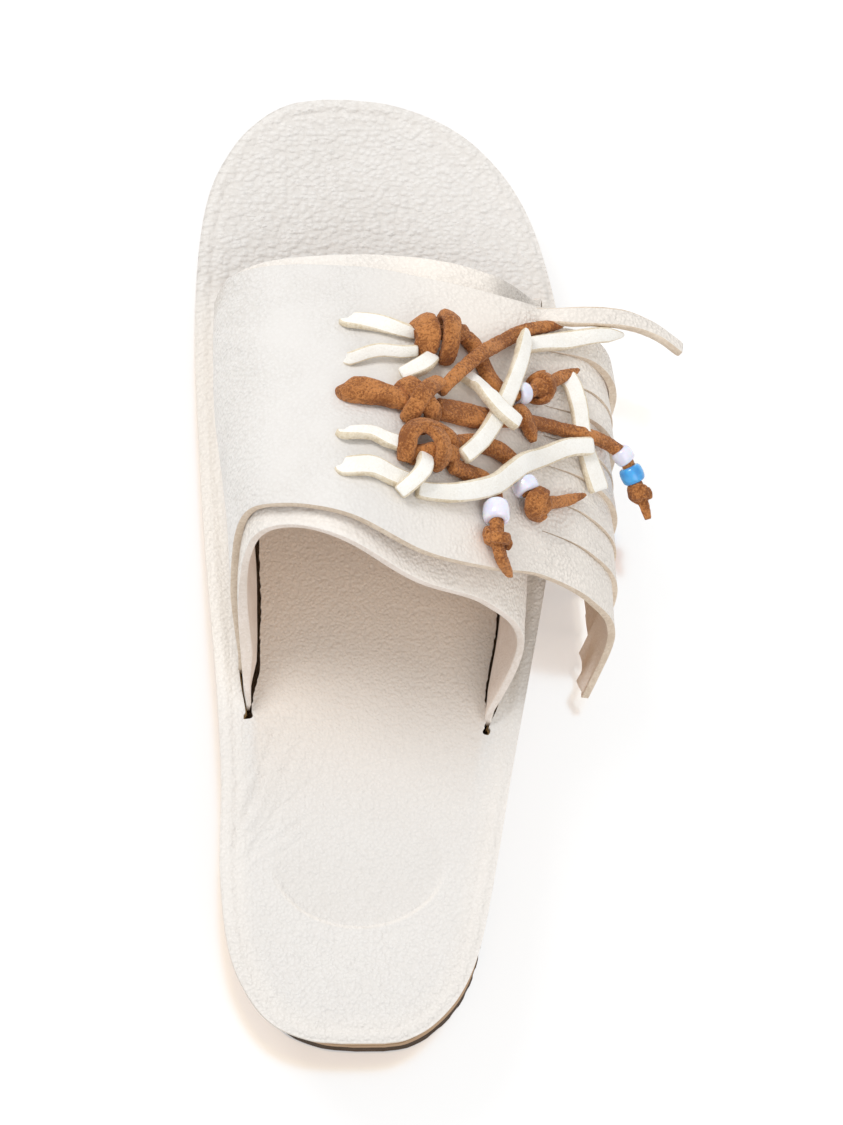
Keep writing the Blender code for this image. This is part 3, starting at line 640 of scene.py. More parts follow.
def makePebbleGroup():
    # leather grain: soft domes with creases between them, longer ripples and fine pores
    numbers = {"Cells": 380.0, "Warp": 0.0009}
    group, given, result = newGroup("pebbleGrain", numbers, ("Height", "Valley", "Pores"))
    wander = noiseNode(group, given["Vector"], 240.0, 3.0)
    shift = vectorMath(group, "SUBTRACT", wander["Color"], (0.5, 0.5, 0.5))
    scaled = addNode(group, "ShaderNodeVectorMath", {0: shift, "Scale": given["Warp"]}, operation="SCALE")
    moved = vectorMath(group, "ADD", given["Vector"], scaled.outputs[0])
    cells = addNode(
        group, "ShaderNodeTexVoronoi",
        {"Vector": moved, "Scale": given["Cells"], "Smoothness": 0.35, "Randomness": 0.9},
        feature="SMOOTH_F1",
    )
    half = times(group, given["Cells"], 0.55)
    ripple = noiseNode(group, moved, half)
    pores = noiseNode(group, given["Vector"], 2400.0, 3.0)
    dome = times(group, cells.outputs["Distance"], -0.85)
    waves = times(group, ripple["Fac"], 0.9)
    fine = times(group, pores["Fac"], 0.16)
    height = plus(group, plus(group, dome, waves), fine)
    group.links.new(height, result["Height"])
    group.links.new(mapRange(group, cells.outputs["Distance"], 0.30, 0.62), result["Valley"])
    group.links.new(pores["Fac"], result["Pores"])
    return group


def makeNapGroup():
    # suede: short matted fibres in small clumps, and broad rubbed patches
    group, given, result = newGroup("suedeNap", {"Fibres": 2600.0}, ("Height", "Mottle"))
    fibres = noiseNode(group, given["Vector"], given["Fibres"], 3.0, Roughness=0.6, Distortion=0.3)
    half = times(group, given["Fibres"], 0.62)
    clumps = noiseNode(group, given["Vector"], half, 2.0)
    patches = noiseNode(group, given["Vector"], 150.0, 2.0)
    grains = times(group, clumps["Fac"], 0.5)
    height = plus(group, times(group, fibres["Fac"], 0.5), grains)
    group.links.new(height, result["Height"])
    mottle = times(group, patches["Fac"], 0.35)
    fleck = times(group, height, 0.65)
    group.links.new(mapRange(group, plus(group, mottle, fleck), 0.41, 0.59), result["Mottle"])
    return group


def makeFoamGroup():
    # cut foam: tiny closed cells and a slightly uneven sanded face
    group, given, result = newGroup("foamCells", {"Cells": 2600.0}, ("Height", "Speck", "Cloud"))
    cells = addNode(
        group, "ShaderNodeTexVoronoi", {"Vector": given["Vector"], "Scale": given["Cells"]}, feature="F1"
    )
    cloud = noiseNode(group, given["Vector"], 60.0, 3.0)
    sand = noiseNode(group, given["Vector"], 1500.0, 3.0)
    group.links.new(plus(group, cells.outputs["Distance"], sand["Fac"]), result["Height"])
    group.links.new(mapRange(group, cells.outputs["Distance"], 0.1, 0.45), result["Speck"])
    group.links.new(cloud["Fac"], result["Cloud"])
    return group


groups = {"pebble": makePebbleGroup(), "nap": makeNapGroup(), "foam": makeFoamGroup()}


def newFinish(name, **shader):
    material = bpy.data.materials.new(name)
    material.use_nodes = True
    tree = material.node_tree
    surface = tree.nodes["Principled BSDF"]
    for label, value in shader.items():
        surface.inputs[label.replace("_", " ")].default_value = value
    place = tree.nodes.new("ShaderNodeTexCoord").outputs["Object"]
    return material, tree, surface, place


def placeGroup(tree, name, place, **values):
    made = tree.nodes.new("ShaderNodeGroup")
    made.node_tree = groups[name]
    tree.links.new(place, made.inputs["Vector"])
    for label, value in values.items():
        made.inputs[label].default_value = value
    return made.outputs


def addBump(tree, surface, height, depth):
    made = addNode(tree, "ShaderNodeBump", {"Height": height, "Distance": depth, "Strength": 1.0})
    tree.links.new(made.outputs["Normal"], surface.inputs["Normal"])


# cream leather, painted shade for the grain's valleys and under the strap, painted light, the flesh side and
# the cut edge
leather = {
    "cream": (0.80, 0.775, 0.745),
    "valley": (0.60, 0.555, 0.505),
    "warm": (0.80, 0.685, 0.575),
    "worn": (0.95, 0.885, 0.81),
    "flesh": (0.90, 0.785, 0.695),
    "edge": (0.78, 0.665, 0.54),
}


def leatherFinish(name, cells, depth, masks, tone=1.0):
    # masks(tree, place) gives where the grain is coarse, how deep it is, and where three tones show:
    # a warmer painted shade under the strap, painted light on dim sides and along the rim, and painted shade
    material, tree, surface, place = newFinish(name, Roughness=0.62)
    fine = placeGroup(tree, "pebble", place, Cells=cells[0], Warp=0.0006)
    drawn = addNode(tree, "ShaderNodeMapping", {"Vector": place, "Scale": (0.72, 1.0, 1.0)}).outputs[0]
    large = placeGroup(tree, "pebble", drawn, Cells=cells[1], Warp=0.0009)
    coarse, strength, warm, worn, paintedShade = masks(tree, place)
    valley = mixNumber(tree, coarse, fine["Valley"], large["Valley"])
    height = mixNumber(tree, coarse, fine["Height"], large["Height"])
    broad = noiseNode(tree, place, 24.0, 3.0)["Fac"]
    # painted shade in the grain's valleys, plus random clouds of tone and the painted-shade places
    shade = times(tree, times(tree, valley, strength), 0.20)
    cloudsAndShade = plus(tree, mapRange(tree, broad, 0.42, 0.72, 0.0, 0.10), paintedShade)
    tones = [[channel * tone for channel in leather[key]] for key in ("cream", "warm", "worn")]
    cream = mixColour(tree, worn, mixColour(tree, warm, *tones[:2]), tones[2])
    shaded = mixColour(tree, plus(tree, shade, cloudsAndShade, clamp=True), cream, leather["valley"])
    tree.links.new(shaded, surface.inputs["Base Color"])
    tree.links.new(mapRange(tree, fine["Pores"], 0.3, 0.7, 0.52, 0.70), surface.inputs["Roughness"])
    addBump(tree, surface, times(tree, height, strength), depth)
    return material


def nearPoint(tree, place, point, near, far):
    away = addNode(tree, "ShaderNodeVectorMath", {0: place, 1: point}, operation="DISTANCE").outputs["Value"]
    return mapRange(tree, away, far, near)


def strapMasks(tree, place):
    # the grain is deep on the flank over the arch and nearly smooth on top
    split = addNode(tree, "ShaderNodeSeparateXYZ", {0: place})
    flank = mapRange(tree, split.outputs["X"], 0.028, 0.041)
    side = mapRange(tree, split.outputs["X"], -0.024, -0.042, 0.0, 0.7)
    patchy = noiseNode(tree, place, 70.0, 2.0)["Fac"]
    strength = plus(tree, times(tree, flank, 1.3), mapRange(tree, patchy, 0.35, 0.75, 0.4, 1.0))
    strength = plus(tree, strength, side)
    # shaded places at the two front corners
    outer = times(tree, nearPoint(tree, place, (-0.0360, -0.0680, 0.036), 0.002, 0.013), 1.1)
    inner = times(tree, nearPoint(tree, place, (0.0410, -0.0690, 0.034), 0.002, 0.010), 0.75)
    paintedShade = plus(tree, outer, inner)
    # painted light: the outer side of the strap, which the lamps light less, is painted lighter
    worn = mapRange(tree, split.outputs["X"], 0.012, -0.028, 0.0, 0.9)
    return times(tree, flank, 0.2), strength, 0.0, worn, paintedShade


def innerMasks(tree, place):
    # the band underneath keeps more of its grain, and gets more painted light all over
    _, strength, warm, worn, paintedShade = strapMasks(tree, place)
    return 0.25, plus(tree, strength, 0.4), warm, plus(tree, worn, 0.5, clamp=True), paintedShade


def bedMasks(tree, place):
    # large pebbles at the toe, fine ones under the foot, and a warmer, darker painted shade where the strap
    # covers the bed
    along = addNode(tree, "ShaderNodeSeparateXYZ", {0: place}).outputs["Y"]
    toe = mapRange(tree, along, -0.050, -0.080)
    heel = mapRange(tree, along, 0.085, 0.120, 0.0, 0.25)
    rim = addNode(tree, "ShaderNodeAttribute", attribute_name="rim").outputs["Fac"]
    # painted shade under the strap
    covered = times(tree, mapRange(tree, along, 0.078, 0.008), mapRange(tree, along, -0.079, -0.066))
    covered = times(tree, covered, mapRange(tree, rim, 0.44, 0.16))
    # painted light along the bed's rim
    edge = mapRange(tree, rim, 0.30, 0.75, 0.0, 0.75)
    sides = mapRange(tree, along, 0.055, 0.015, 0.35, 1.0)
    sides = times(tree, sides, mapRange(tree, along, -0.085, -0.055, 0.15, 1.0))
    strength = plus(tree, plus(tree, times(tree, toe, 0.55), heel), 0.6)
    # a pale line of painted highlight behind the heel seat, which is a little darker inside with painted
    # shade
    seatX, seatY, halfWidth, halfLength = (value * mm for value in sole["heelSeat"])
    seat = vectorMath(tree, "ADD", place, (-seatX, -seatY, 0.0))
    seat = vectorMath(tree, "MULTIPLY", seat, (1 / halfWidth, 1 / halfLength, 0.0))
    seat = addNode(tree, "ShaderNodeVectorMath", {0: seat}, operation="LENGTH").outputs["Value"]
    line = times(tree, mapRange(tree, seat, 0.965, 0.995), mapRange(tree, seat, 1.04, 1.01))
    line = times(tree, line, mapRange(tree, along, 0.083, 0.094, 0.0, 0.42))
    inside = times(tree, mapRange(tree, seat, 1.0, 0.9), mapRange(tree, along, 0.062, 0.090, 0.0, 0.13))
    # in the shade of the strap beside its outer foot
    shaded = times(tree, nearPoint(tree, place, (-0.0350, 0.0270, 0.034), 0.004, 0.021), 0.75)
    worn = plus(tree, times(tree, edge, sides), line, clamp=True)
    return toe, strength, covered, worn, plus(tree, shaded, inside)


def makeSuede(name, light, dark, depth, fibres=2600.0, sheen=0.0):
    material, tree, surface, place = newFinish(name, Roughness=0.95, Sheen_Weight=sheen)
    surface.inputs["Specular IOR Level"].default_value = 0.2
    nap = placeGroup(tree, "nap", place, Fibres=fibres)
    tree.links.new(mixColour(tree, nap["Mottle"], dark, light), surface.inputs["Base Color"])
    addBump(tree, surface, nap["Height"], depth)
    return material


def makeFoam(name, light, dark, depth):
    material, tree, surface, place = newFinish(name, Roughness=0.85)
    surface.inputs["Specular IOR Level"].default_value = 0.25
    foam = placeGroup(tree, "foam", place)
    cloud = mapRange(tree, foam["Cloud"], 0.35, 0.65)
    speck = times(tree, foam["Speck"], 0.35)
    tint = plus(tree, times(tree, cloud, 0.65), speck, clamp=True)
    tree.links.new(mixColour(tree, tint, dark, light), surface.inputs["Base Color"])
    addBump(tree, surface, foam["Height"], depth)
    return material


def makeGlass(name, light, dark):
    material, tree, surface, place = newFinish(name, Roughness=0.16, Coat_Weight=0.6, Coat_Roughness=0.08)
    surface.inputs["Subsurface Weight"].default_value = 0.25
    surface.inputs["Subsurface Scale"].default_value = 0.002
    swirl = noiseNode(tree, place, 350.0, 2.0)["Fac"]
    tint = mixColour(tree, mapRange(tree, swirl, 0.35, 0.65), dark, light)
    tree.links.new(tint, surface.inputs["Base Color"])
    tree.links.new(mapRange(tree, swirl, 0.3, 0.7, 0.12, 0.24), surface.inputs["Roughness"])
    return material


finishes = {
    "strapLeather": leatherFinish("strapLeather", (980.0, 620.0), 0.00036, strapMasks, tone=0.965),
    # the inner band's leather is a lighter copy of the strap's, as painted light
    "innerLeather": leatherFinish("innerLeather", (980.0, 620.0), 0.00036, innerMasks, tone=1.02),
    "bedLeather": leatherFinish("bedLeather", (1150.0, 800.0), 0.00046, bedMasks),
}
# light and dark colour, depth of the nap, size of its fibres, sheen
suedes = {
    "leatherBack": (leather["flesh"], (0.84, 0.71, 0.61), 0.00020),
    "innerEdge": ((0.85, 0.76, 0.69), (0.77, 0.675, 0.595), 0.00040, 1600.0),
    "leatherRim": ((0.76, 0.71, 0.65), (0.68, 0.62, 0.55), 0.00030, 1600.0),
    "leatherEdge": (leather["edge"], (0.66, 0.54, 0.42), 0.00040, 1600.0),
    "suedeBrown": ((0.62, 0.255, 0.080), (0.27, 0.092, 0.026), 0.00095, 2300.0, 0.12),
    "suedeWhite": ((0.97, 0.95, 0.90), (0.92, 0.89, 0.825), 0.00035),
    # the white laces' cut sides are a darker tan: partly their own colour, partly painted shade
    "suedeWhiteEdge": ((0.84, 0.755, 0.61), (0.70, 0.595, 0.43), 0.00035, 1700.0),
}
glasses = {
    "beadWhite": ((0.84, 0.84, 0.95), (0.74, 0.75, 0.90)),
    "beadBlue": ((0.07, 0.42, 0.86), (0.04, 0.30, 0.70)),
}
foams = {
    "brownFoam": ((0.49, 0.33, 0.205), (0.43, 0.28, 0.17), 0.00012),
    "tanFoam": ((0.61, 0.41, 0.19), (0.55, 0.36, 0.16), 0.00012),
    "treadFoam": ((0.10, 0.066, 0.045), (0.06, 0.040, 0.028), 0.00020),
}
for make, table in ((makeSuede, suedes), (makeGlass, glasses), (makeFoam, foams)):
    for name, values in table.items():
        finishes[name] = make(name, *values)
print("materials ready")


# laces, loops and short ends: a piece has the name of its row, without the underlines
def pieceName(node):
    words = node.split("_")
    return words[0] + "".join(word.capitalize() for word in words[1:])


def makeStrip(name, strip, seed):
    path, normals, length = stripPath(strip)
    white = "white" in name
    square, nap = (0.42, 0.05) if white else (0.62, 0.15)
    bm = bmesh.new()
    cut = sweepStrip(
        bm, path, normals, strip["widths"], strip["thick"], seed,
        strip.get("rolls", (0, 0)), strip.get("tip", 0.0), square, nap,
    )
    if white:
        for face in cut:
            face.material_index = 1
    bmesh.ops.recalc_face_normals(bm, faces=bm.faces)
    names = ("suedeWhite", "suedeWhiteEdge") if white else ("suedeBrown",)
    piece = addPiece(pieceName(name), bm, [finishes[kind] for kind in names])
    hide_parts(strip.get("node", name))
    return piece, path, length


beads = {
    # lace, number of its route point, radius, length, bore, finish
    "bead_white_front": ("lace_brown_front", 5, 3.0, 3.6, 1.5, "beadWhite"),
    "bead_white_side": ("lace_brown_side", 8, 2.8, 4.2, 1.4, "beadWhite"),
    "bead_blue_side": ("lace_brown_side", 9, 3.2, 4.7, 1.4, "beadBlue"),
    "bead_white_rear_1": ("lace_brown_rear_1", 4, 3.5, 4.2, 1.5, "beadWhite"),
    "bead_white_rear_2": ("lace_brown_rear_2", 4, 3.6, 6.0, 1.5, "beadWhite"),
}


def makeBead(name, bead):
    lace, place, radius, length, bore, finish = bead
    points = [routeFrame(row)[0] for row in laces[lace]["route"]]
    axis = (smoothVector(points, place + 0.2) - smoothVector(points, place - 0.2)).normalized()
    bm = bmesh.new()
    # half of the wall's section: radius and distance along the lace
    half = ((bore, -0.5), (bore + 0.35, -0.5), (radius * 0.86, -0.47), (radius * 0.97, -0.28), (radius, 0.0))
    section = [(r, h * length) for r, h in half]
    section += [(r, -h) for r, h in section[-2::-1]]
    ring = [bm.verts.new((r, 0, h)) for r, h in section]
    edges = [bm.edges.new((ring[k], ring[(k + 1) % len(ring)])) for k in range(len(ring))]
    bmesh.ops.spin(
        bm, geom=ring + edges, cent=(0, 0, 0), axis=(0, 0, 1), angle=math.tau, steps=32, use_merge=True
    )
    bmesh.ops.recalc_face_normals(bm, faces=bm.faces)
    turn = axis.to_track_quat("Z", "Y").to_matrix().to_4x4()
    bmesh.ops.transform(bm, matrix=Matrix.Translation(points[place]) @ turn, verts=bm.verts)
    piece = addPiece(pieceName(name), bm, [finishes[finish]])
    smoothing = piece.modifiers.new("round", "SUBSURF")
    smoothing.levels = 1
    smoothing.render_levels = 1
    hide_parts(name)
    return piece


# knots: each wrap is a strip through points (across, along, up) from the knot's middle
knots = {
    "knot_front": {
        "at": (-11.4, -47.8, 3.4),
        "wraps": (
            # points, widths, thickness
            (
                ((4.2, -5.0, -3.0), (3.9, -4.4, 0.2), (3.4, -1.8, 2.3), (3.2, 1.6, 2.2),
                 (3.6, 3.8, 0.2), (3.8, 4.4, -3.0)),
                (6.4, 6.6, 6.0), 2.8,
            ),
            (
                ((-3.4, -6.8, -3.0), (-3.6, -6.1, 0.8), (-3.2, -2.4, 4.2), (-2.6, 1.8, 4.0),
                 (-2.2, 5.3, 0.8), (-2.0, 6.1, -3.0)),
                (4.2, 4.8, 4.6), 3.0,
            ),
            (
                ((5.4, -1.8, -1.4), (1.5, -1.2, 0.2), (-3.5, -0.6, 0.4), (-7.6, -2.4, -0.4),
                 (-9.4, -4.0, -2.2)),
                (4.6, 4.8, 4.0), 2.8,
            ),
        ),
    },
    "knot_middle": {
        "at": (-6.2, -28.2, 3.2),
        "wraps": (
            (
                ((3.6, 5.2, -2.4), (3.2, 4.4, 0.8), (1.2, 1.4, 3.0), (-1.2, -1.4, 3.1),
                 (-3.8, -3.8, 2.0), (-6.0, -5.4, 1.4)),
                (4.6, 4.8, 4.0), 2.9,
            ),
            (
                ((3.4, -5.4, -2.4), (3.2, -4.6, 0.6), (2.0, -1.8, 2.0), (0.0, 1.2, 2.0),
                 (-2.4, 3.8, 0.6), (-3.2, 4.8, -2.2)),
                (4.8, 5.2, 4.8), 2.8,
            ),
        ),
    },
    "knot_rear": {
        "at": (-6.8, -15.8, 3.2),
        "wraps": (
            (
                ((5.8, 4.8, -2.0), (6.1, 2.0, 0.6), (4.8, -1.9, 1.8), (0.8, -4.1, 2.2),
                 (-3.6, -3.6, 1.9), (-7.2, -2.4, 0.6), (-9.6, -1.4, -1.4)),
                (4.6, 5.2, 5.0), 3.0,
            ),
            (
                ((0.4, -5.0, -2.0), (0.0, -4.2, 1.2), (-1.8, -1.0, 3.4), (-3.2, 2.4, 3.0),
                 (-3.4, 4.9, 0.4), (-3.2, 5.6, -2.4)),
                (4.6, 4.8, 4.4), 2.9,
            ),
            (
                ((5.0, 4.0, -1.8), (1.6, 3.0, -0.4), (-2.8, 2.2, 0.4), (-6.6, 2.0, -0.2),
                 (-9.2, 1.4, -1.6)),
                (4.2, 4.6, 4.6), 2.8,
            ),
        ),
    },
}


def makeKnot(name, knot, seed):
    x, y, up = knot["at"]
    point, normal = strapFace(x, y)
    centre = point + normal * up
    across = Vector((0, 1, 0)).cross(normal).normalized()
    along = normal.cross(across)
    bm = bmesh.new()
    for number, (points, widths, thick) in enumerate(knot["wraps"]):
        through = [centre + across * a + along * b + normal * c for a, b, c in points]
        core = centre - normal * 2.6
        steps, _ = pathAlong(through, 0.6)
        path = [place for place, _ in steps]
        outward = [(place - core).normalized() for place in path]
        sweepStrip(bm, path, outward, widths, thick, seed + 5 * number, square=0.62, nap=0.16)
    bmesh.ops.recalc_face_normals(bm, faces=bm.faces)
    piece = addPiece(pieceName(name), bm, [finishes["suedeBrown"]])
    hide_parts(name)
    return piece


# end knots: a tight ball with a strip wound over it
endKnots = {
    "end_knot_front": {"lace": "lace_brown_front", "point": 6, "radius": 4.0, "length": 7.2, "start": 0.6},
    "end_knot_side": {"lace": "lace_brown_side", "point": 10, "radius": 2.9, "length": 5.4, "start": 1.6},
    "end_knot_rear_2": {"lace": "lace_brown_rear_2", "point": 5, "radius": 3.4, "length": 5.4, "start": 0.2},
    "end_knot_rear_1": {
        "at": (-35.8, -4.9, 3.6), "axis": (-0.85, 0.3, -0.2), "radius": 4.3, "length": 6.8, "start": 2.6,
    },
}


def makeEndKnot(name, knot, seed):
    if "lace" in knot:
        points = [routeFrame(row)[0] for row in laces[knot["lace"]]["route"]]
        centre = points[knot["point"]]
        before, after = (smoothVector(points, knot["point"] + step) for step in (-0.3, 0.3))
        axis = (after - before).normalized()
        up = strapFace(max(centre.x, -50.0), centre.y)[1]
    else:
        x, y, lift = knot["at"]
        point, up = strapFace(x, y)
        centre = point + up * lift
        axis = Vector(knot["axis"]).normalized()
    side = axis.cross(up).normalized()
    up = side.cross(axis)
    radius = knot["radius"]
    half = knot["length"] / 2
    bm = bmesh.new()
    ball = bmesh.ops.create_icosphere(bm, subdivisions=4, radius=1.0)["verts"]
    for vert in ball:
        a, b, c = vert.co
        spot = centre + side * a * (radius - 0.9) + up * b * (radius - 0.9) + axis * c * half
        fuzz = 0.16 * roughly(spot, 0.9, seed) + 0.25 * roughly(spot, 2.6, seed + 1)
        vert.co = spot + (spot - centre).normalized() * fuzz
    # one turn round the middle, then one that crosses it
    for number, (turns, slant, width) in enumerate(((1.0, 0.10, 3.0), (0.62, 0.46, 2.7))):
        path = []
        outward = []
        count = 40
        for i in range(count + 1):
            angle = knot["start"] + 2.1 * number + turns * math.tau * i / count
            ray = side * math.cos(angle) + up * math.sin(angle)
            sway = math.sin(angle - knot["start"]) * slant * half * 2
            reach = (radius - 0.75 + 0.35 * number) * math.sqrt(max(1.0 - (sway / half / 1.6) ** 2, 0.2))
            path.append(centre + ray * reach + axis * sway)
            outward.append((ray + axis * sway / half * 0.5).normalized())
        widths = (width, width + 0.3, width)
        sweepStrip(bm, path, outward, widths, 1.7, seed + 5 + 5 * number, square=0.7, nap=0.14)
    bmesh.ops.recalc_face_normals(bm, faces=bm.faces)
    piece = addPiece(pieceName(name), bm, [finishes["suedeBrown"]])
    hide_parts(name)
    return piece


def makeLaces():
    made = {name: makeBead(name, bead) for name, bead in beads.items()}
    for number, (name, knot) in enumerate(endKnots.items()):
        made[name] = makeEndKnot(name, knot, 400 + 20 * number)
    for number, (name, strip) in enumerate(laces.items()):
        piece, path, length = makeStrip(name, strip, 20 + 5 * number)
    for number, (name, strip) in enumerate(shortStrips.items()):
        makeStrip(name, strip, 200 + 5 * number)
    for number, (name, knot) in enumerate(knots.items()):
        makeKnot(name, knot, 300 + 20 * number)


makeLaces()
print("laces, beads and knots ready")


# creases of the strap: (x, y) line in mm, depth, half width
creases = (
    (((40.0, -66.0), (30.0, -63.0), (20.0, -62.0)), 0.35, 1.6),
    (((41.0, -58.0), (33.0, -54.0), (24.0, -55.0)), 0.30, 1.5),
    (((42.0, -48.0), (34.0, -45.0), (26.0, -46.5)), 0.28, 1.6),
)


def lineDistance(point, line):
    best = 1e9
    for first, second in zip(line, line[1:]):
        dx, dy = second[0] - first[0], second[1] - first[1]
        share = ((point.x - first[0]) * dx + (point.y - first[1]) * dy) / (dx * dx + dy * dy)
        share = min(max(share, 0.0), 1.0)
        best = min(best, math.hypot(point.x - first[0] - share * dx, point.y - first[1] - share * dy))
    return best


fringe = {
    # each strip from front to rear: share of the width, how far its tip goes outwards, rearwards
    # and upwards, and how many degrees it turns
    "strips": (
        (5.0, 24.0, -13.0, 17.0, 12.0),
        (8.0, 1.0, 2.0, 5.0, 8.0),
        (8.5, -1.0, 0.4, 1.0, 7.0),
        (8.0, 0.3, 0.0, 2.0, 8.0),
        (9.0, -0.9, -0.2, 0.0, 6.0),
        (8.5, 0.3, 0.3, 1.2, 7.0),
        (9.5, -0.6, 0.0, 0.4, 6.0),
        (9.5, 0.0, 0.3, 0.9, 6.0),
        (12.0, 0.4, 0.0, 0.0, 3.0),
    ),
    "cut": 0.22,
    "rowSize": 1.0,
}


def fringeRows():
    # row positions across the outer band, and which strip each row of faces belongs to (None in a cut)
    widths = [strip[0] for strip in fringe["strips"]]
    total = sum(widths)
    rows = [0.0]
    owners = []
    reached = 0.0
    for number, width in enumerate(widths):
        low = reached + (fringe["cut"] / 2 if number else 0.0)
        high = reached + width - (fringe["cut"] / 2 if number < len(widths) - 1 else 0.0)
        count = round((high - low) / fringe["rowSize"])
        if number:
            rows.append(low / total)
            owners.append(None)
        for k in range(1, count + 1):
            rows.append((low + (high - low) * k / count) / total)
            owners.append(number)
        reached += width
    return rows, owners


def strapWaves(spot):
    # how far the leather stands out from its smooth shape
    depth = 0.30 * roughly(spot, 22.0, 3) + 0.10 * roughly(spot, 7.0, 4)
    for line, deep, half in creases:
        depth -= deep * bump(lineDistance(spot, line), half)
    return depth


def fringeMove(normal, reach, k, rows, owners):
    # how a place in the fringe moves; reach is its share of the strip's length
    owner = owners[k] if k < len(owners) and owners[k] is not None else owners[k - 1]
    width, out, back, up, turn = fringe["strips"][owner]
    low = min(row for row, of in zip(rows, owners) if of == owner)
    high = max(row for row, of in zip(rows[1:], owners) if of == owner)
    across = (rows[k] - (low + high) / 2) / (high - low)
    lift = math.sin(math.radians(turn)) * across * width * rise(reach * 2.2)
    move = Vector((-out * reach**1.5, back * reach**3, up * reach**1.5)) + normal * lift
    last = owner == len(fringe["strips"]) - 1
    ragged = roughly((owner * 9.0, rows[k] * 60, 0), 2.4, 8) * rise((reach - 0.8) / 0.2)
    ragged *= 2.4 if last else 1.6
    move.z += ragged
    if last:
        # its end curls under and is torn along the cut
        move.x += 2.6 * reach**3 + 0.8 * ragged
    return move


def cutFringe(bm, spots, owners, cutColumn):
    # the cuts between the strips, and the front strip, which is a piece of its own
    gone = []
    for face in bm.faces:
        column, row = (min(spots[vert][side] for vert in face.verts) for side in (0, 1))
        if column >= cutColumn and owners[row] in (None, 0):
            gone.append(face)
    bmesh.ops.delete(bm, geom=gone, context="FACES")


def innerThickness(share, row, y):
    # doubled leather near the rear corners, cut thin where it ends in the slits
    corner = rise((0.30 - share) / 0.1) + 0.6 * rise((share - 0.76) / 0.1)
    thick = strap["leather"] + strap["doubled"] * corner * rise((row - 0.35) / 0.4)
    end = 29.0 if share < 0.5 else 37.0
    return thick - (thick - 1.0) * min(max((y - end) / 12.0, 0.0), 1.0)


def makeStrapSheet(name, band, rows, owners, replaced):
    columns = strap["columns"][band]
    edges = [bandEdges(band, i / columns) for i in range(columns + 1)]
    bm = bmesh.new()
    weights = bm.verts.layers.deform.verify()
    spots = makeGrid(bm, columns, len(rows) - 1)
    for vert, (i, k) in spots.items():
        front, rear = edges[i]
        vert.co = bandPoint(band, i / columns, front + (rear - front) * rows[k])
    bmesh.ops.reverse_faces(bm, faces=bm.faces)
    bm.normal_update()
    moves = {vert: vert.normal * strapWaves(vert.co) for vert in spots}
    if band == "outer":
        cutColumn = round((strap["cutAt"] + 3) / (len(strap[band]) + 2) * columns)
        for vert, (i, k) in spots.items():
            if i > cutColumn:
                reach = (i - cutColumn) / (columns - cutColumn)
                moves[vert] += fringeMove(vert.normal, reach, k, rows, owners)
    for vert, move in moves.items():
        vert.co += move
    if band == "outer":
        cutFringe(bm, spots, owners, cutColumn)
    most = strap["leather"] + (strap["doubled"] if band == "inner" else 0.0)
    for vert, (i, k) in spots.items():
        if not vert.is_valid:
            continue
        thick = most
        if band == "inner":
            thick = innerThickness(i / columns, rows[k], vert.co.y)
            vert.co -= vert.normal * max(thick - strap["leather"], 0.0) / 2
        vert[weights][0] = thick / most
    outside, rim = ("strapLeather", "leatherEdge") if band == "outer" else ("innerLeather", "innerEdge")
    piece = addPiece(name, bm, [finishes[kind] for kind in (outside, "leatherBack", rim)])
    piece.vertex_groups.new(name="thickness")
    wall = piece.modifiers.new("wall", "SOLIDIFY")
    wall.thickness = most * mm
    wall.vertex_group = "thickness"
    wall.offset = 0.0
    wall.use_even_offset = True
    wall.material_offset = 1
    wall.material_offset_rim = 2
    roundRims(piece, 0.4)
    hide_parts(replaced)
    return piece


frontStrip = {
    # the strip at the front of the fringe stands straight out
    "route": (
        (-33.0, -61.8, -1.6), (-37.0, -61.6, -1.5), (-41.4, -61.4, -0.55),
        (-48.8, -60.8, 45.6, "floor"), (-56.5, -61.2, 44.4, "floor"), (-64.2, -60.8, 42.6, "floor"),
        (-72.1, -58.6, 39.6, "floor"), (-79.4, -54.6, 36.0, "floor"),
    ),
    "widths": (4.6, 5.2, 5.2, 5.0), "thick": 2.1, "rolls": (0, 4),
}


def makeFrontStrip():
    path, normals, _ = stripPath(frontStrip)
    bm = bmesh.new()
    cut = sweepStrip(
        bm, path, normals, frontStrip["widths"], frontStrip["thick"], 90, frontStrip["rolls"],
        square=0.4, nap=0.05,
    )
    for face in cut:
        face.material_index = 1
    bmesh.ops.recalc_face_normals(bm, faces=bm.faces)
    piece = addPiece("strapFrontStrip", bm, [finishes["strapLeather"], finishes["leatherEdge"]])
    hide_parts("upper")


makeFrontStrip()
innerRows = [k / strap["innerRows"] for k in range(strap["innerRows"] + 1)]
makeStrapSheet("strapInner", "inner", innerRows, None, "upper")
outerRows, outerOwners = fringeRows()
makeStrapSheet("strapOuter", "outer", outerRows, outerOwners, "upper")
print("strap ready")


# footbed and sole: stations along them, closer together at the toe and the heel and where the slits end
def evenStations(count):
    fine = 900
    dense = [edgeAt(k / fine) for k in range(fine + 1)]
    reached = [0.0]
    for first, second in zip(dense, dense[1:]):
        step = max(math.hypot(second[0] - first[0], second[side] - first[side]) for side in (1, 2))
        step *= 1 + 3.0 * bump(first[0] - 45.6, 5.5)
        reached.append(reached[-1] + step)
    steps = evenSteps(reached, count)
    return [[a + (b - a) * part for a, b in zip(dense[k], dense[k + 1])] for k, part in steps]


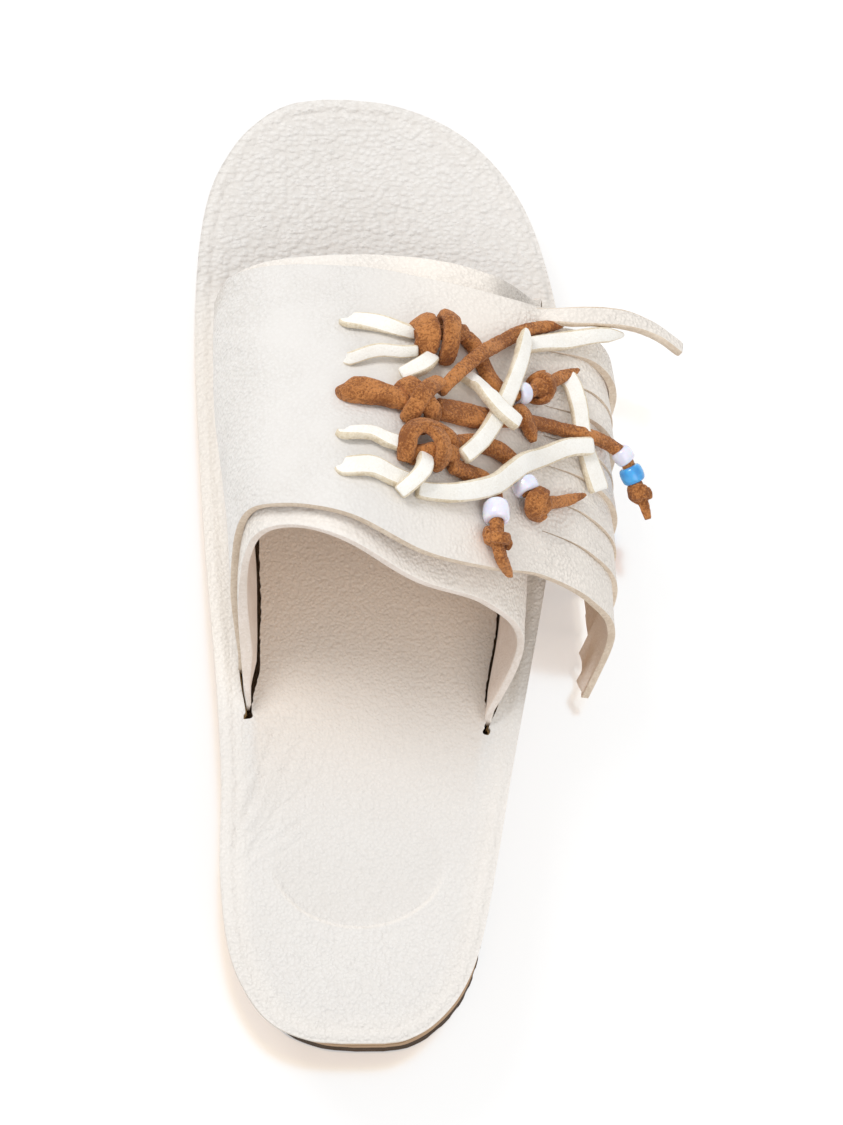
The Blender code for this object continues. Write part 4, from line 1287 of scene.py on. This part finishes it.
slits = {
    # half widths towards the middle of the foot and towards its edge, the same two near the end,
    # how long each narrows, and the hole at the end
    "medial": {
        "line": "medialSlit", "inner": 4.5, "outer": 0.95, "innerEnd": 2.1, "outerEnd": -0.35,
        "innerTaper": 12.0, "outerTaper": 14.0, "hole": 0.95, "holeAt": -1.3,
    },
    "lateral": {
        "line": "lateralSlit", "inner": 3.0, "outer": 1.2, "innerEnd": 1.0, "outerEnd": 0.1,
        "innerTaper": 12.0, "outerTaper": 6.0, "hole": 1.0, "holeAt": -0.3,
    },
}


def slitWidths(slit, y):
    end = sole[slit["line"]][-1][0]
    ragged = 0.34 * roughly((0, y, 0), 0.9, 11) + 0.24 * roughly((0, y, 0), 2.6, 12)
    wider = {side: rise((end - 1.0 - y) / slit[side + "Taper"]) for side in ("inner", "outer")}
    inner = slit["innerEnd"] + (slit["inner"] - slit["innerEnd"]) * wider["inner"] + ragged
    outer = slit["outerEnd"] + (slit["outer"] - slit["outerEnd"]) * wider["outer"]
    past = rise((y - end + 0.8) / 0.8)
    inner += (0.2 - inner) * past
    outer += (0.2 - outer) * past
    hole = math.sqrt(max(slit["hole"] ** 2 - (y - end + 0.1) ** 2, 0.0))
    if hole:
        inner, outer = max(inner, hole - slit["holeAt"]), max(outer, hole + slit["holeAt"])
    return inner, outer


def slitShares(station):
    # where the two slits lie across the sole, as shares of its width; beyond a slit's ends its share stays
    shares = []
    for slit in (slits["lateral"], slits["medial"]):
        line = sole[slit["line"]]
        spread = rise((station[0] - line[-1][0] - 2.0) / 20) + rise((line[0][0] - 2.0 - station[0]) / 20)
        y = min(max(station[0], line[0][0]), line[-1][0] + 1.0)
        width = [curveAt(column(sole["outline"], 0), column(sole["outline"], k), y) for k in (1, 2)]
        middle = (slitX(slit["line"], y) - width[0]) / (width[1] - width[0])
        inner, outer = ((half + 1.6 * spread) / (width[1] - width[0]) for half in slitWidths(slit, y))
        low, high = (outer, inner) if middle < 0.5 else (inner, outer)
        shares += [middle - low, middle + high]
    return shares


bed = {"edgeColumns": 9, "slitColumns": 3, "middleColumns": 72, "rows": 400, "thick": 2.6}


def bedColumns(shares):
    # shares of the width for every column of faces
    stops = [0.0, *shares, 1.0]
    counts = [bed[part + "Columns"] for part in ("edge", "slit", "middle", "slit", "edge")]
    places = [0.0]
    for low, high, count in zip(stops, stops[1:], counts):
        places += [low + (high - low) * k / count for k in range(1, count + 1)]
    return places


def slitFaces(bm, spots, stations, slitted):
    first = bed["edgeColumns"]
    second = first + bed["slitColumns"] + bed["middleColumns"]
    gone = []
    for face in bm.faces:
        place = min(spots[vert][0] for vert in face.verts)
        row = min(spots[vert][1] for vert in face.verts)
        y = (stations[row][0] + stations[row + 1][0]) / 2
        for low, slit in ((first, "lateral"), (second, "medial")):
            line = sole[slits[slit]["line"]]
            inside = low <= place < low + bed["slitColumns"]
            if inside and line[0][0] - slitted < y < line[-1][0] + slitted:
                gone.append(face)
    bmesh.ops.delete(bm, geom=gone, context="FACES")


# creases behind the strap and along the medial side: (x, y) line in mm, depth, half width
bedCreases = (
    (((25.0, 44.8), (30.8, 55.3), (35.5, 69.9)), 0.24, 0.7),
    (((29.2, 47.4), (32.8, 57.9), (37.0, 69.9)), 0.34, 0.6),
    (((32.8, 49.0), (33.6, 56.3), (39.1, 63.1)), 0.26, 0.6),
    (((23.0, 51.1), (27.7, 61.6), (33.4, 72.0)), 0.20, 0.7),
    (((31.8, 59.0), (36.5, 69.9), (39.4, 74.6)), 0.36, 0.6),
    (((26.9, 64.2), (31.9, 74.1), (35.5, 78.3)), 0.26, 0.6),
    (((16.3, 58.5), (22.6, 63.7), (29.3, 70.0)), 0.16, 0.7),
    (((32.4, 72.0), (39.6, 77.7)), 0.30, 0.6),
    (((29.3, 73.1), (36.1, 80.3)), 0.26, 0.6),
    (((21.6, 71.0), (31.9, 78.3), (38.1, 82.4)), 0.24, 0.6),
    (((19.5, 74.2), (27.8, 79.9), (34.5, 83.5)), 0.18, 0.6),
)


def makeRimTree():
    # points of the sole's outline, to find how far inside it a place is
    points = []
    for k in range(1201):
        y, lateral, medial = edgeAt(k / 1200)
        points += [(lateral, y, 0), (medial, y, 0)]
    for y, lateral, medial in (edgeAt(0), edgeAt(1)):
        points += [(lateral + (medial - lateral) * k / 60, y, 0) for k in range(61)]
    tree = kdtree.KDTree(len(points))
    for number, point in enumerate(points):
        tree.insert(point, number)
    tree.balance()
    return tree


rimTree = makeRimTree()


def bedHeight(x, y, lateral, medial):
    rim = rimTree.find((x, y, 0))[2]
    height = heightAt("footbedTop", y) + wingLift(x, y, lateral, medial) - heelDish(x, y, lateral, medial)
    height -= 0.30 * bump(rim - 3.4, 0.8)
    height -= 0.5 * rise(1 - rim / 2.2) ** 2
    height += 0.12 * roughly((x, y, 0), 20.0, 5) + 0.05 * roughly((x, y, 0), 6.0, 6)
    # heel seat: an oval that sinks towards its rear, with a low ridge behind it
    seatX, seatY, halfWidth, halfLength = sole["heelSeat"]
    oval = math.hypot((x - seatX) / halfWidth, (y - seatY) / halfLength)
    fade = rise((y - 84.0) / 8.0)
    pressed = 0.70 * rise((y - 76.0) / 16.0) * rise((1.0 - oval) / 0.045)
    height += fade * 0.10 * bump(oval - 1.03, 0.034) - pressed
    for line, deep, half in bedCreases:
        height -= 1.7 * deep * bump(lineDistance(Vector((x, y, 0)), line), half)
    return height


def makeFootbed():
    stations = evenStations(bed["rows"])
    places = [bedColumns(slitShares(station)) for station in stations]
    columns = len(places[0]) - 1
    bm = bmesh.new()
    rimLayer = bm.verts.layers.float.new("rim")
    spots = makeGrid(bm, columns, bed["rows"])
    for vert, (i, k) in spots.items():
        y, lateral, medial = stations[k]
        lateral -= 0.6
        medial += 0.6
        x = lateral + (medial - lateral) * places[k][i]
        vert.co = (x, y, bedHeight(x, y, lateral, medial))
        vert[rimLayer] = 1.0 - min(rimTree.find((x, y, 0))[2] / 12.0, 1.0)
    slitFaces(bm, spots, stations, 1.05)
    lower, _ = extrudeFaces(bm, list(bm.faces))
    bmesh.ops.translate(bm, vec=(0, 0, -bed["thick"]), verts=lower)
    bmesh.ops.recalc_face_normals(bm, faces=bm.faces)
    for face in bm.faces:
        face.material_index = 0 if face.normal.z > 0.5 else 1 if face.normal.z < -0.5 else 2
    kinds = ("bedLeather", "leatherBack", "leatherRim")
    piece = addPiece("footbedLeather", bm, [finishes[kind] for kind in kinds], smoothAngle=50)
    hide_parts("footbed")


layers = {
    "wedgeFoam": {
        "node": "midsole_wedge", "low": "middleTop", "high": "wedgeTop",
        "finish": "tanFoam", "slot": "foam_tan",
    },
    "middleFoam": {
        "node": "midsole_middle", "low": "lowerTop", "high": "middleTop",
        "finish": "brownFoam", "slot": "foam_brown",
    },
    "lowerFoam": {
        "node": "midsole_lower", "low": "outsoleTop", "high": "lowerTop",
        "finish": "brownFoam", "slot": "foam_brown",
    },
}
tread = {
    "pitch": 11.0, "width": 3.2, "depth": 1.8, "first": -96.0, "count": 20, "notch": 1.1,
    # at four levels from the floor up: inset, how far the heel stands out, lean of toe and heel
    "inset": (0.5, 0.0, 0.0, 0.0), "heelOut": (1.2, 1.2, 0.9, 0.2), "lean": (0.95, 0.95, 1.5, 1.75),
}


def wallInset(y, z):
    return sole["lean"] * max(heightAt("wedgeTop", y) - z, 0.0)


def tipInset(y, z, share=1.85):
    # the toe and the heel lean in as well
    return y - math.copysign(share * wallInset(y, z) * rise((abs(y) - 92.0) / 34.0), y)


def heelShift(y, z):
    # the heel's walls stand a little to the outer side lower down
    return -0.10 * max(heightAt("wedgeTop", y) - z, 0.0) * rise((y - 50.0) / 50.0)


def makeLayer(name, layer):
    rows = 240
    stations = evenStations(rows)
    slitted = name == "wedgeFoam"
    places = [bedColumns(slitShares(station)) for station in stations] if slitted else None
    columns = len(places[0]) - 1 if slitted else 6
    bm = bmesh.new()
    spots = makeGrid(bm, columns, rows)
    if slitted:
        slitFaces(bm, spots, stations, 0.4)

    def settle(vert, boundary, gap):
        i, k = spots[vert]
        y, lateral, medial = stations[k]
        z = heightAt(boundary, y) + gap
        edge = min(wallInset(y, z), (medial - lateral) * 0.3)
        lateral, medial = lateral + edge, medial - edge
        share = places[k][i] if slitted else i / columns
        x = lateral + (medial - lateral) * share
        if boundary == "wedgeTop":
            z += wingLift(x, y, lateral, medial) - heelDish(x, y, lateral, medial)
        sway = 0.10 * roughly((x, y, z), 16.0, 9) + heelShift(y, z)
        vert.co = (x + sway, tipInset(y, z), z)

    kept = list(bm.verts)
    tops, _ = extrudeFaces(bm, list(bm.faces))
    for vert in tops:
        spots[vert] = gridPlace(vert, columns, rows)
    for vert in kept:
        if vert.is_valid:
            settle(vert, layer["low"], 0.04)
    for vert in tops:
        settle(vert, layer["high"], -0.04)
    bmesh.ops.recalc_face_normals(bm, faces=bm.faces)
    piece = addPiece(name, bm, [finishes[layer["finish"]]])
    roundRims(piece, 0.22)
    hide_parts(layer["node"])


def grooveDepth(y):
    place = (y - tread["first"]) / tread["pitch"]
    nearest = min(max(round(place), 0), tread["count"] - 1)
    off = abs(y - (tread["first"] + nearest * tread["pitch"]))
    return tread["depth"] * rise((tread["width"] / 2 + 0.25 - off) / 0.5)


def notchDepth(y):
    place = (y - tread["first"]) / (tread["pitch"] / 2)
    off = abs(place - round(place)) * tread["pitch"] / 2
    return rise((1.5 - off) / 0.7)


def makeOutsole():
    rows = 420
    columns = 10
    stations = evenStations(rows)
    bm = bmesh.new()
    spots = makeGrid(bm, columns, rows)
    kept = list(bm.verts)
    levels = []
    faces = list(bm.faces)
    for _ in range(3):
        fresh, faces = extrudeFaces(bm, faces)
        for vert in fresh:
            spots[vert] = gridPlace(vert, columns, rows)
        levels.append(fresh)
    upper = set(levels[1]) | set(levels[2])
    for face in bm.faces:
        face.material_index = 1 if all(vert in upper for vert in face.verts) else 0
    for level, verts in enumerate((kept, *levels)):
        for vert in verts:
            if not vert.is_valid:
                continue
            i, k = spots[vert]
            y, lateral, medial = stations[k]
            low = heightAt("tread", y)
            high = heightAt("outsoleTop", y) - 0.04
            z = (low, low + 0.9, low + 3.0, high)[level]
            edge = min(wallInset(y, z), (medial - lateral) * 0.3)
            edge += tread["inset"][level] - tread["heelOut"][level] * rise((y - 80.0) / 40.0)
            if level < 2:
                edge += tread["notch"] * notchDepth(y) * (1 - 0.85 * rise((y - 70.0) / 30.0))
            lateral, medial = lateral + edge, medial - edge
            x = lateral + (medial - lateral) * i / columns
            if level == 0:
                z += grooveDepth(y)
            elif level == 1:
                z += 0.9 * notchDepth(y)
            vert.co = (x + heelShift(y, z), tipInset(y, z, tread["lean"][level]), z)
    bmesh.ops.recalc_face_normals(bm, faces=bm.faces)
    piece = addPiece("treadSole", bm, [finishes["treadFoam"], finishes["brownFoam"]], smoothAngle=40)
    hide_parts("outsole")


makeFootbed()
for layerName, layer in layers.items():
    makeLayer(layerName, layer)
makeOutsole()
print("footbed and sole ready")


# floor and light, which are no part of the shoe
def makeFloor():
    bm = bmesh.new()
    bmesh.ops.create_grid(bm, x_segments=8, y_segments=8, size=3.0)
    bmesh.ops.translate(bm, vec=(0, 0, -0.0002), verts=bm.verts)
    mesh = bpy.data.meshes.new("floor")
    bm.to_mesh(mesh)
    bm.free()
    floor = bpy.data.objects.new("floor", mesh)
    material, _, surface, _ = newFinish("acrylic", Roughness=0.13, Metallic=0.7)
    surface.inputs["Base Color"].default_value = (0.92, 0.92, 0.92, 1.0)
    surface.inputs["Emission Color"].default_value = (1.0, 1.0, 1.0, 1.0)
    surface.inputs["Emission Strength"].default_value = 0.33
    mesh.materials.append(material)
    scene.collection.objects.link(floor)


def makeLight(name, place, size, power):
    light = bpy.data.objects.new(name, bpy.data.lights.new(name, "AREA"))
    light.data.shape = "DISK"
    light.data.size = size
    light.data.energy = power
    light.location = place
    light.rotation_euler = (-Vector(place)).to_track_quat("-Z", "Y").to_euler()
    scene.collection.objects.link(light)


def makeStudio():
    world = bpy.data.worlds.new("studio")
    world.use_nodes = True
    sky = world.node_tree.nodes["Background"]
    sky.inputs["Color"].default_value = (1.0, 1.0, 1.0, 1.0)
    sky.inputs["Strength"].default_value = 0.68
    scene.world = world
    makeLight("key", (0.75, -0.95, 1.5), 0.8, 16.0)
    makeLight("fill", (-0.9, 1.2, 1.7), 1.6, 10.5)
    scene.view_settings.view_transform = "Standard"


makeFloor()
makeStudio()
print("studio ready")
